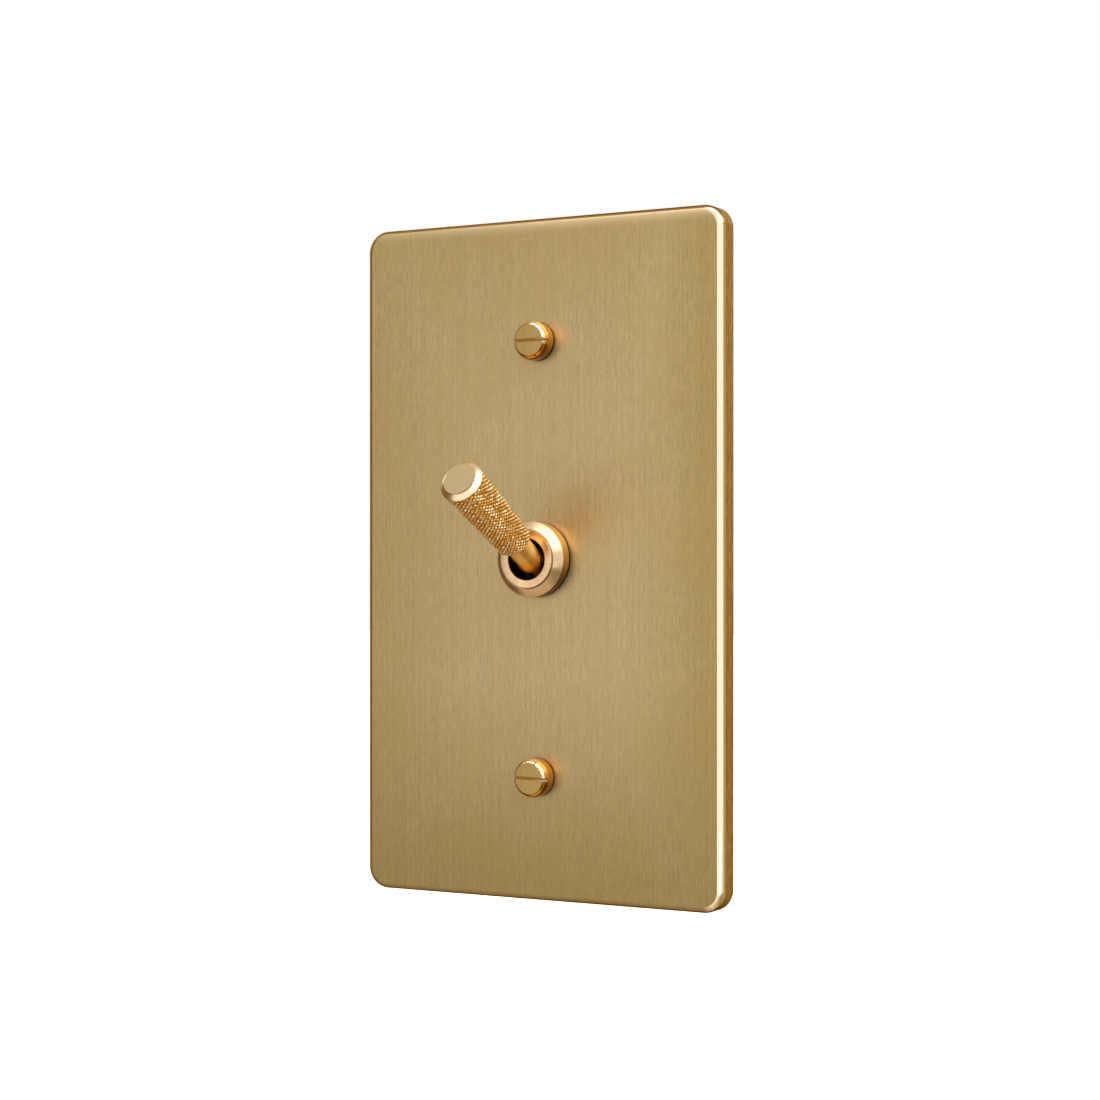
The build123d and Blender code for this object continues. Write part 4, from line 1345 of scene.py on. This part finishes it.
class SWITCH_OT_stage(bpy.types.Operator):
    """Set up the camera, the soft lights, the pale surroundings and the floor"""

    bl_idname = "switch.stage"
    bl_label = "Studio"

    # Each soft panel's turn and rise in degrees, distance, width, height and radiance
    PANELS = {
        "right_panel": (50, 36, 1.4, 1.0, 0.7, 2.0),
        "low_panel": (40, -14, 1.4, 0.5, 0.2, 1.6),
        "rear_panel": (90, 36, 1.4, 1.2, 0.5, 2.0),
        "top_panel": (20, 62, 1.4, 1.2, 0.8, 2.0),
        "over_panel": (200, 75, 1.4, 1.2, 1.2, 0.4),
        "left_panel": (-110, 30, 1.4, 0.7, 0.6, 2.0),
        "back_panel": (185, 14, 1.6, 0.9, 0.9, 1.0),
    }
    # Tones of the room: behind at the left and right, in front, low at the right, and below
    BEHIND_LEFT, BEHIND_RIGHT = (0.20, 0.11, 0.03), (0.50, 0.33, 0.16)
    IN_FRONT, LOW_RIGHT, BELOW = (1.04, 1.02, 1.0), (0.34, 0.25, 0.13), (0.80, 0.64, 0.44)
    WHITE = (1.0, 1.0, 1.0)
    FLOOR_DARK, FLOOR_LIGHT = (0.9, 0.9, 0.89), (0.93, 0.93, 0.92)
    FLOOR_GLOW = 0.75
    FLOOR_SIZE = 6.0
    SENSOR = 36.0
    NEAREST = 0.01

    def panel(self, name, azimuth, elevation, distance, width, height, radiance):
        """A soft light panel that faces the plate from a direction."""
        light = bpy.data.lights.new(name, "AREA")
        light.shape = "RECTANGLE"
        light.size, light.size_y = width, height
        light.energy = radiance * math.pi * width * height
        turn, rise = math.radians(azimuth), math.radians(elevation)
        back = Vector((math.sin(turn) * math.cos(rise), -math.cos(turn) * math.cos(rise), math.sin(rise)))
        lamp = placed(name, light)
        lamp.location = back * distance
        lamp.rotation_euler = (-back).to_track_quat("-Z", "Y").to_euler()

    def surroundings(self, scene):
        """White behind the object, and a dimmer room of soft tones for its reflections."""
        scene.world = bpy.data.worlds.new("studio")
        scene.world.use_nodes = True
        scene.world.node_tree.nodes.clear()
        wiring = Wiring(scene.world.node_tree)
        mix = wiring.mix
        x, y, z = wiring.parts(wiring.value("ShaderNodeTexCoord", output="Generated"))
        far = mix(x.ramp(0.0, 0.6), self.BEHIND_LEFT, self.BEHIND_RIGHT)
        at_right = x.ramp(0.25, 0.5)
        front = mix(z.ramp(-0.12, -0.3) * at_right, self.IN_FRONT, self.LOW_RIGHT)
        front = mix(z.ramp(-0.35, -0.7), front, mix(at_right, self.BELOW, self.LOW_RIGHT))
        tone = mix(y.ramp(0.12, -0.03) * x.ramp(-0.76, -0.6), far, front)
        room = wiring.value("ShaderNodeBackground", {"Color": tone})
        white = wiring.value("ShaderNodeBackground", {"Color": self.WHITE})
        seen = wiring.value("ShaderNodeLightPath", output="Is Camera Ray")
        both = wiring.value("ShaderNodeMixShader", {0: seen, 1: room, 2: white})
        wiring.add("ShaderNodeOutputWorld", {"Surface": both})

    def floor(self, height):
        """A plain pale floor under the object."""
        finish = Finish("pale_floor", metallic=0.0)
        aged_and_shaded = finish.group(tarnish, Scale=1.5)["Shade"]
        finish.feed(Base_Color=finish.mix(aged_and_shaded, self.FLOOR_DARK, self.FLOOR_LIGHT), Roughness=0.9)
        finish.feed(Emission_Color=self.WHITE, Emission_Strength=self.FLOOR_GLOW)
        mesh = bmesh.new()
        low = Matrix.Translation((0, 0, -height))
        bmesh.ops.create_grid(mesh, x_segments=1, y_segments=1, size=self.FLOOR_SIZE, matrix=low)
        floor = placed("floor", plain(mesh))
        floor.data.materials.append(finish.material)
        floor.visible_glossy = False
        floor.visible_diffuse = False

    def camera(self, settings):
        """A level camera at the right of the front."""
        data = bpy.data.cameras.new("camera")
        data.lens = settings.lens
        data.sensor_width = self.SENSOR
        data.shift_y = settings.horizon
        data.clip_start = self.NEAREST
        turn = settings.azimuth
        back = Vector((math.sin(turn), -math.cos(turn), 0))
        right = Vector((math.cos(turn), math.sin(turn), 0))
        face = Vector((0, PLATE_FRONT, settings.height))
        camera = placed("camera", data)
        camera.location = face + back * settings.distance + right * settings.aside
        camera.rotation_euler = (-back).to_track_quat("-Z", "Y").to_euler()
        bpy.context.scene.camera = camera

    def execute(self, context):
        settings = context.scene.switch_settings.stage
        context.scene.view_settings.view_transform = "Standard"
        self.surroundings(context.scene)
        self.floor(settings.floor)
        self.camera(settings)
        for name, panel in self.PANELS.items():
            self.panel(name, *panel)
        return {"FINISHED"}


OPERATORS = (
    SWITCH_OT_wall_plate,
    SWITCH_OT_plate_screws,
    SWITCH_OT_collar,
    SWITCH_OT_lever,
    SWITCH_OT_knurled_grip,
    SWITCH_OT_bushing,
    SWITCH_OT_inner_works,
    SWITCH_OT_small_screws,
    SWITCH_OT_case,
    SWITCH_OT_spring,
    SWITCH_OT_stage,
)


class SWITCH_PT_panel(bpy.types.Panel):
    """Lists the pieces of the toggle light switch"""

    bl_idname = "SWITCH_PT_panel"
    bl_label = "Toggle Light Switch"
    bl_space_type = "VIEW_3D"
    bl_region_type = "UI"
    bl_category = "Switch"

    def draw(self, context):
        for operator in OPERATORS:
            self.layout.operator(operator.bl_idname)


CLASSES = (
    PlateSettings,
    TurnedSettings,
    KnurlSettings,
    ScrewSettings,
    SpringSettings,
    StockSettings,
    StageSettings,
    SwitchSettings,
    *OPERATORS,
    SWITCH_PT_panel,
)


def register():
    for cls in CLASSES:
        bpy.utils.register_class(cls)
    bpy.types.Scene.switch_settings = PointerProperty(type=SwitchSettings)


def unregister():
    del bpy.types.Scene.switch_settings
    for cls in reversed(CLASSES):
        bpy.utils.unregister_class(cls)


def main():
    """Registers the add-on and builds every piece."""
    register()
    for operator in OPERATORS:
        family, name = operator.bl_idname.split(".")
        getattr(getattr(bpy.ops, family), name)()


if __name__ == "__main__":
    main()
